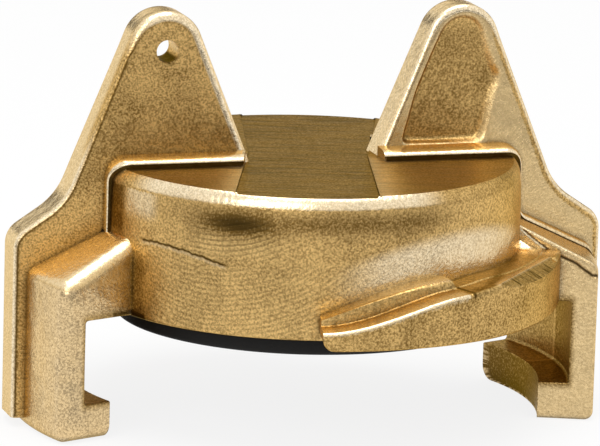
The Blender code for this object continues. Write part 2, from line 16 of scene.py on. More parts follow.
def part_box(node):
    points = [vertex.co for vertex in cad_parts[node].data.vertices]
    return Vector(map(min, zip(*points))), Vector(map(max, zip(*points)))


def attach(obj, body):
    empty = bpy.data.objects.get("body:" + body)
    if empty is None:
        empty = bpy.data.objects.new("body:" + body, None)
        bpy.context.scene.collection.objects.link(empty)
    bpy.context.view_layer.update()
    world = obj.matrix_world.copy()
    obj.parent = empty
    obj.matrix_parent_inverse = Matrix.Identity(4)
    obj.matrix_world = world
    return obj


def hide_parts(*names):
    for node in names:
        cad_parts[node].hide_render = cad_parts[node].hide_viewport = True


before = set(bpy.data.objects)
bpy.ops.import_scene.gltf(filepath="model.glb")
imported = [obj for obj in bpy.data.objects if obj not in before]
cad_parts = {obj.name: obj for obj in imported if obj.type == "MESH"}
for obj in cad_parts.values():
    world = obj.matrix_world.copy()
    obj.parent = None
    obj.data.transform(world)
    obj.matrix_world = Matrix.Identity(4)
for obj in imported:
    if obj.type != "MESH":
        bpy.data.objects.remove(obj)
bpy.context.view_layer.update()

bl_info = {
    "name": "Forged Brass Blank Cap",
    "version": (1, 0, 0),
    "blender": (4, 5, 0),
    "location": "3D View > Sidebar > Blank Cap",
    "description": "Builds the surfaces, finishes and stage of a brass blank cap for claw hose couplings",
    "category": "Add Mesh",
}

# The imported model's box, and the corners of its two nodes
_, BRASS_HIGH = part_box("cap_body")
SEAL_LOW, SEAL_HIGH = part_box("face_seal")
MM = 0.001

# Claws
RIB_RADIUS = BRASS_HIGH.x
RIB_PROUD = 1.2 * MM
CLAW_RADIUS = RIB_RADIUS - RIB_PROUD
CLAW_WALL = 2.6 * MM
GROOVE_RADIUS = CLAW_RADIUS - CLAW_WALL
LIP_RADIUS = GROOVE_RADIUS - 3.1 * MM
LIP_HEIGHT = 3.85 * MM
CEILING_Z = LIP_HEIGHT + 8.55 * MM
CLAW_HALF_ANGLE = math.radians(21.0)
# The end beside the ramp was cut by the mill, so its edges are nearly sharp; the tip's outer corner is worn
CLAW_CUT_ROUND = 0.35 * MM
CLAW_TIP_ROUND = 0.9 * MM
HOOK_CORNER = 0.35 * MM

# Disc
BODY_RADIUS = 21.85 * MM
FACE_Z = CEILING_Z - 0.15 * MM
CROWN_Z = FACE_Z + 14.8 * MM
TOP_Z = CROWN_Z - 0.45 * MM
CAVITY_RADIUS = 12.0 * MM
CAVITY_ROUND = 2.0 * MM
CAVITY_Z = TOP_Z - 5.2 * MM
RIM_ROUND = 2.0 * MM
# The side draws in towards the rim, which the grinding belt has rounded over
SIDE_EASE = 0.14 * MM
SIDE_EASE_HEIGHT = 3.6 * MM
EASE_ANGLE = math.atan(2 * SIDE_EASE / SIDE_EASE_HEIGHT)
FOOT_ROUND = 0.3 * MM
# How far a piece runs on inside its neighbour, so that no gap shows between them
ROOT = 0.6 * MM

# Shoulder that slopes from the disc to each claw
SHOULDER_Z = CEILING_Z + 7.7 * MM
SHOULDER_SLOPE = math.radians(25.5)
SHOULDER_EDGE_Z = SHOULDER_Z - (CLAW_RADIUS - BODY_RADIUS) * math.tan(SHOULDER_SLOPE)

# Last pass of the mill across the top, wider at both ends
PASS_DEPTH = 0.15 * MM
PASS_HALF_WIDTH = 6.1 * MM
PASS_FLARE = 1.2 * MM
PASS_TURN = math.radians(-17.0)

# Cam ramps
RAMP_RADIUS = 27.0 * MM
RAMP_SEAT_RADIUS = 26.1 * MM
RAMP_STEP_RADIUS = 24.2 * MM
RAMP_START = math.radians(257.0)
RAMP_CREST = math.radians(290.5)
RAMP_END = math.tau - CLAW_HALF_ANGLE
RAMP_FOOT_Z = CEILING_Z + 1.9 * MM
RAMP_SEAT_Z = CEILING_Z + 5.4 * MM
RAMP_RIDGE = 0.5 * MM
RAMP_GUIDE = 0.6 * MM
RAMP_DETENT = 0.4 * MM
RAMP_DETENT_ARC = math.radians(11.0)
RAMP_NOSE_ROUND = 1.2 * MM
RAMP_CREST_FALL = 0.6 * MM
RAMP_WALL_FILLET = 1.2 * MM
FLAT_ANGLE = math.radians(319.8)
FLAT_DISTANCE = 24.95 * MM
FLAT_SLOPE = math.radians(27.0)
FLAT_START = -9.5 * MM
FLAT_END = 4.6 * MM
FLAT_END_STEEPNESS = 5.0

# Ears
EAR_TOP_Z = BRASS_HIGH.z
EAR_FOOT = 6.8 * MM
EAR_TIP_RADIUS = 3.85 * MM
EAR_SIDE_ANGLE = math.radians(67.8)
EAR_HALF_THICKNESS = 2.4 * MM
EAR_TIP_HALF_THICKNESS = 2.0 * MM
EAR_WAIST_ROUND = 7.0 * MM
RIB_FOOT = 0.9 * MM
RIB_SHOULDER_ROUND = 2.5 * MM
RIB_SHOULDER_SLOPE = math.radians(33.5)
RIB_SHOULDER_LIFT = 3.3 * MM
CHAIN_HOLE_RADIUS = 1.15 * MM
CHAIN_HOLE_DROP = 4.0 * MM

# Pocket in the front of the right ear, and its twin in the back of the left one
POCKET_DEPTH = 0.8 * MM
POCKET_TIP_DEPTH = 0.2 * MM
POCKET_FLOOR_Z = TOP_Z + 1.3 * MM
POCKET_INNER_SIDE = 9.3 * MM
POCKET_INNER_LEAN = math.radians(14.7)
POCKET_KNEE = 19.75 * MM
POCKET_KNEE_Z = TOP_Z + 8.4 * MM
POCKET_KNEE_LEAN = math.radians(22.8)
POCKET_OUTER_SIDE = 17.7 * MM
POCKET_STEP_Z = TOP_Z + 6.2 * MM
POCKET_STEP = 1.0 * MM
POCKET_TIP_RADIUS = 2.9 * MM
POCKET_WALL = 0.5 * MM
POCKET_BEVEL = 1.2 * MM
POCKET_EASE = 10
POCKET_MARGIN = 0.4 * MM
EAR_BASE_Z = TOP_Z - 1.4 * MM
# Below the base the face runs to a line inside the disc and the claw's wall: its X at some of the points, and
# its Z at all of these but the first
RIB_INNER_AT = (0, 20, 60, 95)
RIB_INNER_X = (20.5 * MM, 20.8 * MM, 24.5 * MM, 28.4 * MM, 28.4 * MM)
RIB_INNER_Z = (21.5 * MM, 17.6 * MM, 15.0 * MM, RIB_FOOT)
# Painted shade on a plain face below one height, and in the pocket below another, each with its soft edge
LOW_FACE_SHADE = (35.0 * MM, 7.0 * MM)
POCKET_SHADE = (40.2 * MM, 1.5 * MM)

# Points along the inner side, the tip, the outer side and the base of an ear's face
INNER_POINTS, TIP_POINTS, OUTER_POINTS, BASE_POINTS = 90, 40, 90, 40

# The four faces of the two ears: edge roundings on the inner side, the tip and the outer side, how far in the
# edge is rubbed bright and painted as a highlight there, and how dark the painted shade line beside it is.
# Ears are alike after half a turn.
POCKET_FACE = {
    "pocketed": 1, "edge": (0.45 * MM, 0.6 * MM, 0.9 * MM), "reach": (0.35 * MM, 0.8 * MM, 0.4 * MM),
    "edge_shade": (0.9, 0.5, 0.1), "fade": (0.15, 0.0, 0.0),
}
PLAIN_FACE = {
    "pocketed": 0, "edge": (0.9 * MM, 0.9 * MM, 0.55 * MM), "reach": (0.9 * MM, 0.9 * MM, 0.2 * MM),
    "edge_shade": (0.1, 0.5, 1.5), "fade": (0.0, 0.1, 0.95),
}

# Forged fillet beside each ear's foot
LEDGE_WIDTH = 2.3 * MM
LEDGE_LIFT = 0.4 * MM
LEDGE_ROOT_LIFT = 1.6
LEDGE_SIDE_SHARE = 0.4
LEDGE_CORNER = 2.0 * MM
LEDGE_BEND = 1.3 * MM
LEDGE_START = EAR_FOOT - 0.1 * MM
LEDGE_FLAT = 0.45
SHOULDER_FILLET_WIDTH = 1.3 * MM
SHOULDER_FILLET_RISE = 0.5 * MM

# Seal
SEAL_BEAD_RADIUS = SEAL_HIGH.x
SEAL_RADIUS = SEAL_BEAD_RADIUS - 0.8 * MM
SEAL_BORE_RADIUS = 12.5 * MM

# Where a cutter has run out over the rim before each ear, in degrees from +X, and how deep
NICK_TURN = (312.0, 337.0, 2.0)
NICK_DEPTH = 1.15 * MM

# Shallow groove on the claw's end, painted black as the shadow under the shoulder's edge: its distances
# from the axis, its height at each, its width and its depth
SHADOW_GROOVE = (
    (21.5 * MM, 23.5 * MM, 25.4 * MM, 27.5 * MM, 29.4 * MM),
    (20.2 * MM, 18.65 * MM, 17.3 * MM, 16.5 * MM, 15.2 * MM),
)
SHADOW_GROOVE_WIDTH = 0.10 * MM
SHADOW_GROOVE_WIDENING = 0.12 * MM
SHADOW_GROOVE_DEPTH = 0.12 * MM

# The wall under the groove, painted bright as a highlight, above a height and out to a reach; and the shade
# at the other end's root
END_WALL_LOW, END_WALL_REACH = 17.4 * MM, 26.5 * MM
ROOT_SHADE, ROOT_SHADE_REACH = (12.0 * MM, 13.0 * MM, 0.5 * MM), 24.2 * MM

# Tool marks: the grinding belt's arcs on the side, the lathe's rings below, and the cells of the mills'
# streaks as length across the pass or down the flat, width and height. Real marks are too fine to show.
BELT_CENTRE = (-14.6 * MM, -16.2 * MM, 36.0 * MM)
BELT_PITCH = 0.5 * MM
BELT_UNEVEN = 5.0 * MM
BELT_WANDER = 9.0
LATHE_FEED = 0.3 * MM
MILL_CELL = (7.0 * MM, 0.8 * MM, 7.0 * MM)
COMB_CELL = (3.0 * MM, 0.35 * MM, 3.0 * MM)

# Wear, stains, painted highlights and painted shade on the rim and the side. A range is (from, to, width
# of its soft edge); angles are in degrees from +X, on the photographed half, and an area is a range of
# angles and one of heights.
RIM_HIGHLIGHT = (203.0, 288.0, 12.0)
RIM_SHADE = (290.0, 330.0, 12.0)
BARE_AREA = ((197.5, 209.0, 5.0), (22.8 * MM, 26.5 * MM, 1.6 * MM))
GROUND_AREA = ((208.0, 262.0, 16.0), (12.0 * MM, 20.0 * MM, 3.0 * MM))
SCORED_AREA = ((222.0, 246.0, 12.0), (20.5 * MM, 24.0 * MM, 2.0 * MM))
CLAW_SHADE = ((196.0, 205.5, 4.0), (11.0 * MM, 18.4 * MM, 2.0 * MM))
LEDGE_SHADE = (184.0, 196.0, 2.0)
FOOT_SHADE = (196.0, 206.5, 1.5)
FOOT_SHADE_HEIGHT = 0.9 * MM
# A dark patch under the rim, as the middle and the spread of its angles and heights, and the brown band
# beside it
UNDER_RIM_DARK = ((235.0, 13.0), (23.6 * MM, 1.4 * MM))
BROWN = ((238.0, 291.0, 22.0), (23.9 * MM, MM))
# A painted highlight on the belt-ground side above the ramp, up to a height that falls off to both sides
SIDE_HIGHLIGHT_AREA = ((268.0, 334.0, 22.0), (16.0 * MM, 22.2 * MM, 1.6 * MM))
SIDE_HIGHLIGHT_MIDDLE = 300.0
SIDE_HIGHLIGHT_FALL = 0.3

# A fold crack in the disc's side: its height at five angles, in degrees from +X
CRACK = (
    (204.6, 211.5, 219.2, 225.9, 231.7),
    (20.46 * MM, 20.51 * MM, 20.27 * MM, 19.82 * MM, 19.27 * MM),
)
CRACK_WIDTH = 0.12 * MM

# A painted shadow on the seat's floor past the crest: its distance from the axis at three angles
SEAT_SHADOW = ((296.5, 311.1, 320.7), (26.25 * MM, 22.96 * MM, 22.1 * MM))
SEAT_SHADOW_WIDTH = 0.9 * MM
SEAT_SHADOW_RANGE = (291.5, 326.0, 3.0)

# What the camera looks at, and how far the frame is shifted, in shares of its width
AIM = (-0.868 * MM, 0.269 * MM, 19.639 * MM)
SHIFT = (0.0049, -0.00436)

# How finely the surfaces are drawn: steps round the axis, and rings on an ear's face from its edge to the
# pocket, across the pocket's wall, and on to the hole
TURN_STEPS = 720
EDGE_RINGS, WALL_RINGS, HOLE_RINGS = 21, 7, 23

# The marks that a surface's points carry; points closer than this are merged, and edges sharper stay sharp
MARK_NAMES = ("wear_and_highlight", "cut", "stain_and_shade")
MERGE = 0.002 * MM
SHARP_ANGLE = math.radians(38.0)


def linear(colour):
    """An sRGB hex colour as linear red, green and blue."""
    channels = np.array([int(colour[i:i + 2], 16) for i in (1, 3, 5)]) / 255
    dark = channels / 12.92
    light = ((channels + 0.055) / 1.055) ** 2.4
    return tuple(float(c) for c in np.where(channels <= 0.04045, dark, light))


class CapEdges(bpy.types.PropertyGroup):
    """Roundings and tool marks, the sizes of the surfaces that the CAD model leaves sharp."""

    claw_round: bpy.props.FloatProperty(
        name="Claw edges", description="Rounding of the claws' outer edges",
        default=1.5 * MM, min=0.1 * MM, max=2.0 * MM, unit="LENGTH", precision=5,
    )
    hook_round: bpy.props.FloatProperty(
        name="Hook edges", description="Rounding of the machined edges inside the hooks",
        default=0.2 * MM, min=0.02 * MM, max=1.0 * MM, unit="LENGTH", precision=5,
    )
    ramp_round: bpy.props.FloatProperty(
        name="Ramp edges", description="Rounding of the cam track's outer edge",
        default=0.4 * MM, min=0.05 * MM, max=1.0 * MM, unit="LENGTH", precision=5,
    )
    ripple_pitch: bpy.props.FloatProperty(
        name="Rim ripple pitch", description="Spacing of the chatter marks along the rim",
        default=0.75 * MM, min=0.2 * MM, max=3.0 * MM, unit="LENGTH", precision=5,
    )
    ripple_depth: bpy.props.FloatProperty(
        name="Rim ripple depth", description="Depth of the chatter marks along the rim",
        default=0.012 * MM, min=0.0, max=0.1 * MM, unit="LENGTH", precision=6,
    )


class CapFinish(bpy.types.PropertyGroup):
    """Colours and grain of the metal and the rubber."""

    skin: bpy.props.FloatVectorProperty(
        name="Forged skin", description="Colour of the brass where the forging is untouched",
        default=linear("#F1C880"), size=3, min=0.0, max=1.0, subtype="COLOR",
    )
    # This colour paints oxide, and also painted shade and dark reflections
    stain_and_shade: bpy.props.FloatVectorProperty(
        name="Stain", description="Colour of the oxide left in recesses and pores",
        default=linear("#775A2A"), size=3, min=0.0, max=1.0, subtype="COLOR",
    )
    cut: bpy.props.FloatVectorProperty(
        name="Cut metal", description="Colour of the brass where it was milled or turned",
        default=linear("#E2C284"), size=3, min=0.0, max=1.0, subtype="COLOR",
    )
    # This colour paints rubbed wear, and also painted highlights
    wear_and_highlight: bpy.props.FloatVectorProperty(
        name="Rubbed metal", description="Colour of the brass where tumbling has rubbed edges bright",
        default=linear("#FBEBCB"), size=3, min=0.0, max=1.0, subtype="COLOR",
    )
    # This colour paints grime and tool lines, and also painted crease shade and painted shadow lines
    grime_and_shade: bpy.props.FloatVectorProperty(
        name="Grime", description="Colour of what gathers in creases and behind edges",
        default=linear("#33270F"), size=3, min=0.0, max=1.0, subtype="COLOR",
    )
    rubber: bpy.props.FloatVectorProperty(
        name="Rubber", description="Colour of the nitrile rubber seal",
        default=linear("#121110"), size=3, min=0.0, max=1.0, subtype="COLOR",
    )
    # How far the painted shade in creases reaches out of a corner
    crease_shade: bpy.props.FloatProperty(
        name="Crease", description="How far out of a corner its grime reaches",
        default=1.0 * MM, min=0.1 * MM, max=5.0 * MM, unit="LENGTH", precision=5,
    )
    grain: bpy.props.FloatProperty(
        name="Grain", description="Width of the grain that the forging die's blasted face leaves",
        default=0.22 * MM, min=0.02 * MM, max=2.0 * MM, unit="LENGTH", precision=5,
    )
    mottle: bpy.props.FloatProperty(
        name="Mottle", description="Width of the cloudy patches in the forged skin",
        default=3.5 * MM, min=0.5 * MM, max=30.0 * MM, unit="LENGTH", precision=5,
    )


class CapStage(bpy.types.PropertyGroup):
    """The camera's place and the light's strength."""

    azimuth: bpy.props.FloatProperty(
        name="Azimuth", description="Where the camera stands round the cap; 0 looks along +Y",
        default=math.radians(-17.235), subtype="ANGLE",
    )
    elevation: bpy.props.FloatProperty(
        name="Elevation", description="How far above the horizon the camera stands",
        default=math.radians(12.289), subtype="ANGLE",
    )
    roll: bpy.props.FloatProperty(
        name="Roll", description="How far the photograph is turned about its middle",
        default=math.radians(1.686), subtype="ANGLE",
    )
    distance: bpy.props.FloatProperty(
        name="Distance", description="From the camera to the middle of the cap",
        default=565.43 * MM, unit="LENGTH", precision=5,
    )
    lens: bpy.props.FloatProperty(
        name="Lens", description="Focal length in millimetres on a 36 mm sensor",
        default=332.37,
    )
    top_light: bpy.props.FloatProperty(
        name="Top light", description="Power of the large soft light overhead, in watts",
        default=3.0, min=0.0,
    )
    front_light: bpy.props.FloatProperty(
        name="Front light", description="Power of the soft light beside the camera, in watts",
        default=1.8, min=0.0,
    )


def edges():
    return bpy.context.scene.cap_edges


def finish():
    return bpy.context.scene.cap_finish


def stage():
    return bpy.context.scene.cap_stage


def smooth_step(value):
    """0 below 0, 1 above 1 and 3v^2 - 2v^3 between."""
    value = np.clip(value, 0.0, 1.0)
    return value * value * (3 - 2 * value)


def rounding(distance, radius):
    """How far a quarter-round has still to rise at a distance from its start: r - sqrt(r^2 - (r - d)^2)."""
    left = np.clip(radius - distance, 0.0, radius)
    return radius - np.sqrt(radius * radius - left * left)


def window(value, low, high, soft):
    """1 between two bounds, easing to 0 over a soft width at each."""
    return smooth_step((value - low) / soft + 0.5) * smooth_step((high - value) / soft + 0.5)


def area(degrees, height, place):
    """1 inside a range of angles and a range of heights, easing to 0 at their soft edges."""
    return window(degrees, *place[0]) * window(height, *place[1])


def bell(value, middle, spread):
    """1 in the middle, falling off to both sides as exp(-((v - m) / s)^2)."""
    return np.exp(-((value - middle) / spread) ** 2)


def strongest(*marks):
    """The greatest of several marks at each point."""
    return functools.reduce(np.maximum, marks)


def moving_mean(values, reach, mode):
    """Each value's mean with its neighbours up to a reach; past the ends they repeat or go round."""
    count = 2 * reach + 1
    return np.convolve(np.pad(values, reach, mode=mode), np.ones(count) / count, mode="valid")


def cylindrical(radius, turn, height):
    """Points from their distance to the axis, their angle round it and their height."""
    radius, turn, height = np.broadcast_arrays(radius, turn, height)
    return np.stack([radius * np.cos(turn), radius * np.sin(turn), height], axis=-1)


def rounded_path(corners, run_points, corner_points):
    """Straight runs between corners (x, z, radius) with an arc at each inner corner.

    Every run and every arc has a set number of points, so that two such paths match point by point.
    """
    places = [np.array(corner[:2]) for corner in corners]
    starts, ends, arcs = [places[0]], [], []
    for before, place, after, radius in zip(places, places[1:], places[2:], [c[2] for c in corners[1:]]):
        back = (before - place) / np.linalg.norm(before - place)
        ahead = (after - place) / np.linalg.norm(after - place)
        half = math.acos(float(np.clip(back @ ahead, -1, 1))) / 2
        centre = place + (back + ahead) / np.linalg.norm(back + ahead) * radius / math.sin(half)
        first = place + back * radius / math.tan(half)
        last = place + ahead * radius / math.tan(half)
        ends.append(first)
        starts.append(last)
        # Both ends are weighed by sines of the angle left to them, which keeps every point on the circle.
        sweep = math.pi - 2 * half
        share = np.linspace(0, 1, corner_points)[1:-1, None]
        turned = (np.sin((1 - share) * sweep) * (first - centre) + np.sin(share * sweep) * (last - centre))
        arcs.append(centre + turned / math.sin(sweep))
    ends.append(places[-1])
    pieces = []
    for i, (start, end) in enumerate(zip(starts, ends)):
        share = np.linspace(0, 1, run_points[i])[:, None]
        pieces.append(start + (end - start) * share)
        if i < len(arcs):
            pieces.append(arcs[i])
    return np.concatenate(pieces)


def evenly(path, count):
    """The path's points again at even steps: each coordinate is read off the running length."""
    steps = np.linalg.norm(np.diff(path, axis=0), axis=1)
    length = np.concatenate([[0.0], np.cumsum(steps)])
    at = np.linspace(0.0, length[-1], count)
    return np.stack([np.interp(at, length, path[:, i]) for i in range(path.shape[1])], axis=1)


def grid_faces(rows, columns, close_columns=False):
    """Quads between neighbouring points of a grid, whose last column may join its first."""
    row, column = np.meshgrid(
        np.arange(rows - 1), np.arange(columns if close_columns else columns - 1), indexing="ij")
    next_column = (column + 1) % columns
    corners = [
        row * columns + column,
        (row + 1) * columns + column,
        (row + 1) * columns + next_column,
        row * columns + next_column,
    ]
    return np.stack(corners, axis=-1).reshape(-1, 4)


class Patch:
    """A grid of points (rows, columns, 3) with the share of wear and painted highlight, cut metal, and stain
    and painted shade at each.
    """

    def __init__(self, points, wear_and_highlight=0.0, cut=0.0, stain_and_shade=0.0, flip=False, close_columns=False):
        self.points = points
        shape = points.shape[:2]
        self.marks = [np.broadcast_to(np.asarray(mark, float), shape) for mark in (wear_and_highlight, cut, stain_and_shade)]
        faces = grid_faces(*shape, close_columns)
        self.faces = faces[:, ::-1] if flip else faces


def make_piece(name, patches, half_turned=False):
    """Joins patches into one smooth-shaded mesh object on the frame, turned half round the axis if asked."""
    points = np.concatenate([patch.points.reshape(-1, 3) for patch in patches])
    if half_turned:
        points = points * (-1.0, -1.0, 1.0)
    starts = np.cumsum([0] + [patch.points.shape[0] * patch.points.shape[1] for patch in patches[:-1]])
    faces = np.concatenate([patch.faces + start for patch, start in zip(patches, starts)])
    mesh = bpy.data.meshes.new(name)
    mesh.from_pydata(points.tolist(), [], faces.tolist())
    for i, mark_name in enumerate(MARK_NAMES):
        values = np.concatenate([patch.marks[i].ravel() for patch in patches])
        mark = mesh.attributes.new(mark_name, "FLOAT", "POINT")
        mark.data.foreach_set("value", values.astype(np.float32))
    shape = bmesh.new()
    shape.from_mesh(mesh)
    bmesh.ops.remove_doubles(shape, verts=shape.verts, dist=MERGE)
    bmesh.ops.dissolve_degenerate(shape, edges=shape.edges, dist=MERGE / 10)
    shape.to_mesh(mesh)
    shape.free()
    mesh.shade_smooth()
    mesh.set_sharp_from_angle(angle=SHARP_ANGLE)
    obj = bpy.data.objects.new(name, mesh)
    bpy.context.scene.collection.objects.link(obj)
    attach(obj, "root")
    return obj


def brass_piece(name, patches, material, half_turned=False):
    """A piece of the forging's surface, which stands for the CAD body."""
    obj = make_piece(name, patches, half_turned)
    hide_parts("cap_body")
    obj.data.materials.append(material)
    return obj


def rim_centre():
    return BODY_RADIUS - SIDE_EASE - RIM_ROUND, CROWN_Z - RIM_ROUND


def pass_side(points_y):
    """Half the width of the mill's last pass at a distance along it."""
    return PASS_HALF_WIDTH + PASS_FLARE * np.abs(points_y) / (BODY_RADIUS + MM)


def rim_top(turn):
    """Height at which the top's flat cuts the rim: lower in the mill's last pass, uncut beside the ears."""
    across = BODY_RADIUS * np.cos(turn - PASS_TURN)
    along = BODY_RADIUS * np.sin(turn - PASS_TURN)
    in_pass = smooth_step((pass_side(along) - np.abs(across)) / (0.15 * MM) + 0.5)
    half_width = EAR_HALF_THICKNESS + LEDGE_WIDTH
    uncut = smooth_step((half_width - np.abs(BODY_RADIUS * np.sin(turn))) / (0.1 * MM) + 0.5)
    top = TOP_Z - PASS_DEPTH * in_pass
    return top + (CROWN_Z - top) * uncut


def half_degrees(turn):
    """Angles in degrees carried to the photographed half, from 180 to 360, because both halves are alike."""
    return np.degrees(np.mod(turn, math.pi) + math.pi)


def rim_marks(turn, height):
    """How far chatter moves the rim's surface: a sine of the arc length, strong in some stretches."""
    pitch = edges().ripple_pitch / BODY_RADIUS
    wave = np.sin(turn / pitch * math.tau) + 0.5 * np.sin(turn / pitch * math.tau * 1.37 + height / MM * 2.0)
    stretch = smooth_step(0.5 + 1.5 * np.sin(turn * 5 + 1.0)) * smooth_step(0.6 + np.sin(turn * 13))
    return edges().ripple_depth * wave * stretch


def rim_nick(turn, radius, height):
    """Depth to which a cutter has run out over the rim before each ear: down to a plane r + z = constant."""
    over = (radius + height - BODY_RADIUS - CROWN_Z + NICK_DEPTH) / math.sqrt(2)
    return np.maximum(over, 0.0) * window(half_degrees(turn), *NICK_TURN)


def disc_rim(turn):
    """The rim: at each angle an arc from the flat top out to the side, with chatter marks and the nicks."""
    centre_r, centre_z = rim_centre()
    first = np.arcsin(np.clip((rim_top(turn) - centre_z) / RIM_ROUND, -1, 1))
    share = np.linspace(0, 1, 20)[:, None]
    angle = first + (EASE_ANGLE - first) * share
    rim_r = centre_r + RIM_ROUND * np.cos(angle)
    rim_z = centre_z + RIM_ROUND * np.sin(angle)
    nick = rim_nick(turn, rim_r, rim_z)
    wear = np.sin(math.pi * share) ** 0.5
    rim_r = rim_r + rim_marks(turn, rim_z) * wear - nick / math.sqrt(2)
    rim_z = rim_z - nick / math.sqrt(2)
    degrees = half_degrees(turn)
    nicked = smooth_step(nick / (0.05 * MM))
    # The painted highlight band ends in a ragged line on its lower side
    ragged = 0.25 * np.sin(turn * 97) * np.sin(turn * 41 + 2)
    rubbed = (0.95 - 0.35 * share ** 3) * window(degrees, *RIM_HIGHLIGHT)
    rubbed = rubbed * smooth_step((0.86 + 0.1 * ragged - share) * 8 + 0.5)
    # Over one range of angles the rim is painted darker, as shade where it mirrors the dark
    return Patch(
        cylindrical(rim_r, turn, rim_z), wear_and_highlight=rubbed * (1 - nicked), cut=0.12,
        stain_and_shade=0.9 * nicked + 0.35 * window(degrees, *RIM_SHADE), close_columns=True,
    )


def side_marks(degrees, height):
    """Wear, painted highlight, cut metal, stain and painted shade on the disc's side, as windows and bells in
    angle and height.
    """
    under_rim_dark = 1.8 * bell(degrees, *UNDER_RIM_DARK[0]) * bell(height, *UNDER_RIM_DARK[1])
    brown = 0.95 * window(degrees, *BROWN[0]) * bell(height, *BROWN[1])
    # Beside the fillet and beside the claw the side is painted dark, as the shade that falls there
    shade_beside_ledge = 1.1 * window(degrees, *LEDGE_SHADE) * smooth_step((height - SHOULDER_Z) / MM)
    at_foot = smooth_step((FACE_Z + FOOT_SHADE_HEIGHT - height) / (0.5 * MM))
    at_foot = 1.8 * window(degrees, *FOOT_SHADE) * at_foot
    corner = strongest(shade_beside_ledge, area(degrees, height, CLAW_SHADE), at_foot)
    bare = 0.5 * area(degrees, height, BARE_AREA)
    # Painted highlight on the side above the ramp, where it mirrors the light
    low, high, soft = SIDE_HIGHLIGHT_AREA[1]
    high = high - SIDE_HIGHLIGHT_FALL * BODY_RADIUS * np.radians(degrees - SIDE_HIGHLIGHT_MIDDLE) ** 2
    belt = window(height, low, high, soft) * window(degrees, *SIDE_HIGHLIGHT_AREA[0])
    ground = 0.10 + 0.16 * area(degrees, height, GROUND_AREA) + 0.35 * area(degrees, height, SCORED_AREA)
    below = np.interp(degrees, *CRACK) - height + 0.08 * MM * np.sin(degrees * 2.1) * np.sin(degrees * 0.9)
    on_crack = window(degrees, CRACK[0][0], CRACK[0][-1], 1.5)
    crack = bell(below, 0.0, CRACK_WIDTH) * on_crack
    lip = bell(below, 2.2 * CRACK_WIDTH, CRACK_WIDTH) * on_crack
    wear_and_highlight = strongest(0.75 * belt, 0.35 * lip, bare)
    return wear_and_highlight, ground, strongest(under_rim_dark, brown, corner * (1 - bare), 2.0 * crack)


def disc_wall(turn):
    """The side and its foot: r = R - e((z - z0) / h)^2 above z0, so that it draws in towards the rim."""
    centre_r, centre_z = rim_centre()
    join = centre_r + RIM_ROUND * math.cos(EASE_ANGLE)
    low = centre_z + RIM_ROUND * math.sin(EASE_ANGLE)
    side_z = low - SIDE_EASE_HEIGHT * np.linspace(0, 1, 26)
    left = (side_z - side_z[-1]) / SIDE_EASE_HEIGHT
    drawn_in = np.stack([BODY_RADIUS + (join - BODY_RADIUS) * left ** 2, side_z], axis=1)
    under = SEAL_BEAD_RADIUS - 0.5 * MM
    foot = rounded_path(
        [(BODY_RADIUS, side_z[-1], 0), (BODY_RADIUS, FACE_Z, FOOT_ROUND), (under, FACE_Z, 0)], (74, 3), 6)
    side = np.concatenate([drawn_in, foot[1:]])
    wear_and_highlight, cut, stain_and_shade = side_marks(half_degrees(turn), side[:, 1:])
    return Patch(
        cylindrical(side[:, :1], turn, side[:, 1:]), wear_and_highlight=wear_and_highlight, cut=cut, stain_and_shade=stain_and_shade, close_columns=True)


def disc_patches():
    """The turned disc's rim and side."""
    turn = np.linspace(0, math.tau, TURN_STEPS, endpoint=False)[None, :]
    return [disc_rim(turn), disc_wall(turn)]


def underside_patches():
    """Under the disc: the seal's seat and the cavity, one half section turned round the axis."""
    mouth = SEAL_RADIUS + 0.3 * MM
    undercut = SEAL_BEAD_RADIUS + 0.3 * MM
    seat_z = SEAL_HIGH.z + 0.3 * MM
    section = rounded_path(
        [
            (mouth, FACE_Z, 0.0),
            (mouth, FACE_Z + 1.2 * MM, 0.1 * MM),
            (undercut, FACE_Z + 2.0 * MM, 0.1 * MM),
            (undercut, seat_z, 0.1 * MM),
            (CAVITY_RADIUS, seat_z, 0.15 * MM),
            (CAVITY_RADIUS, CAVITY_Z, CAVITY_ROUND),
            (0.0, CAVITY_Z, 0.0),
        ],
        (4, 3, 4, 6, 8, 10), 8,
    )
    turn = np.linspace(0, math.tau, TURN_STEPS // 3, endpoint=False)[None, :]
    face = cylindrical(np.array([[BODY_RADIUS - MM], [mouth]]), turn, np.full((2, 1), FACE_Z))
    return [
        Patch(face, cut=1.0, close_columns=True),
        Patch(cylindrical(section[:, :1], turn, section[:, 1:]), cut=1.0, stain_and_shade=0.3, close_columns=True),
    ]


def pass_frame(across, along, height):
    """Points given across and along the mill's last pass, turned into place."""
    cosine, sine = math.cos(PASS_TURN), math.sin(PASS_TURN)
    across, along, height = np.broadcast_arrays(across, along, height)
    return np.stack([across * cosine - along * sine, across * sine + along * cosine, height], axis=-1)


def flat_radius(height):
    """Distance from the axis at which the rim's arc reaches a height."""
    centre_r, centre_z = rim_centre()
    return centre_r + math.sqrt(RIM_ROUND ** 2 - (height - centre_z) ** 2)


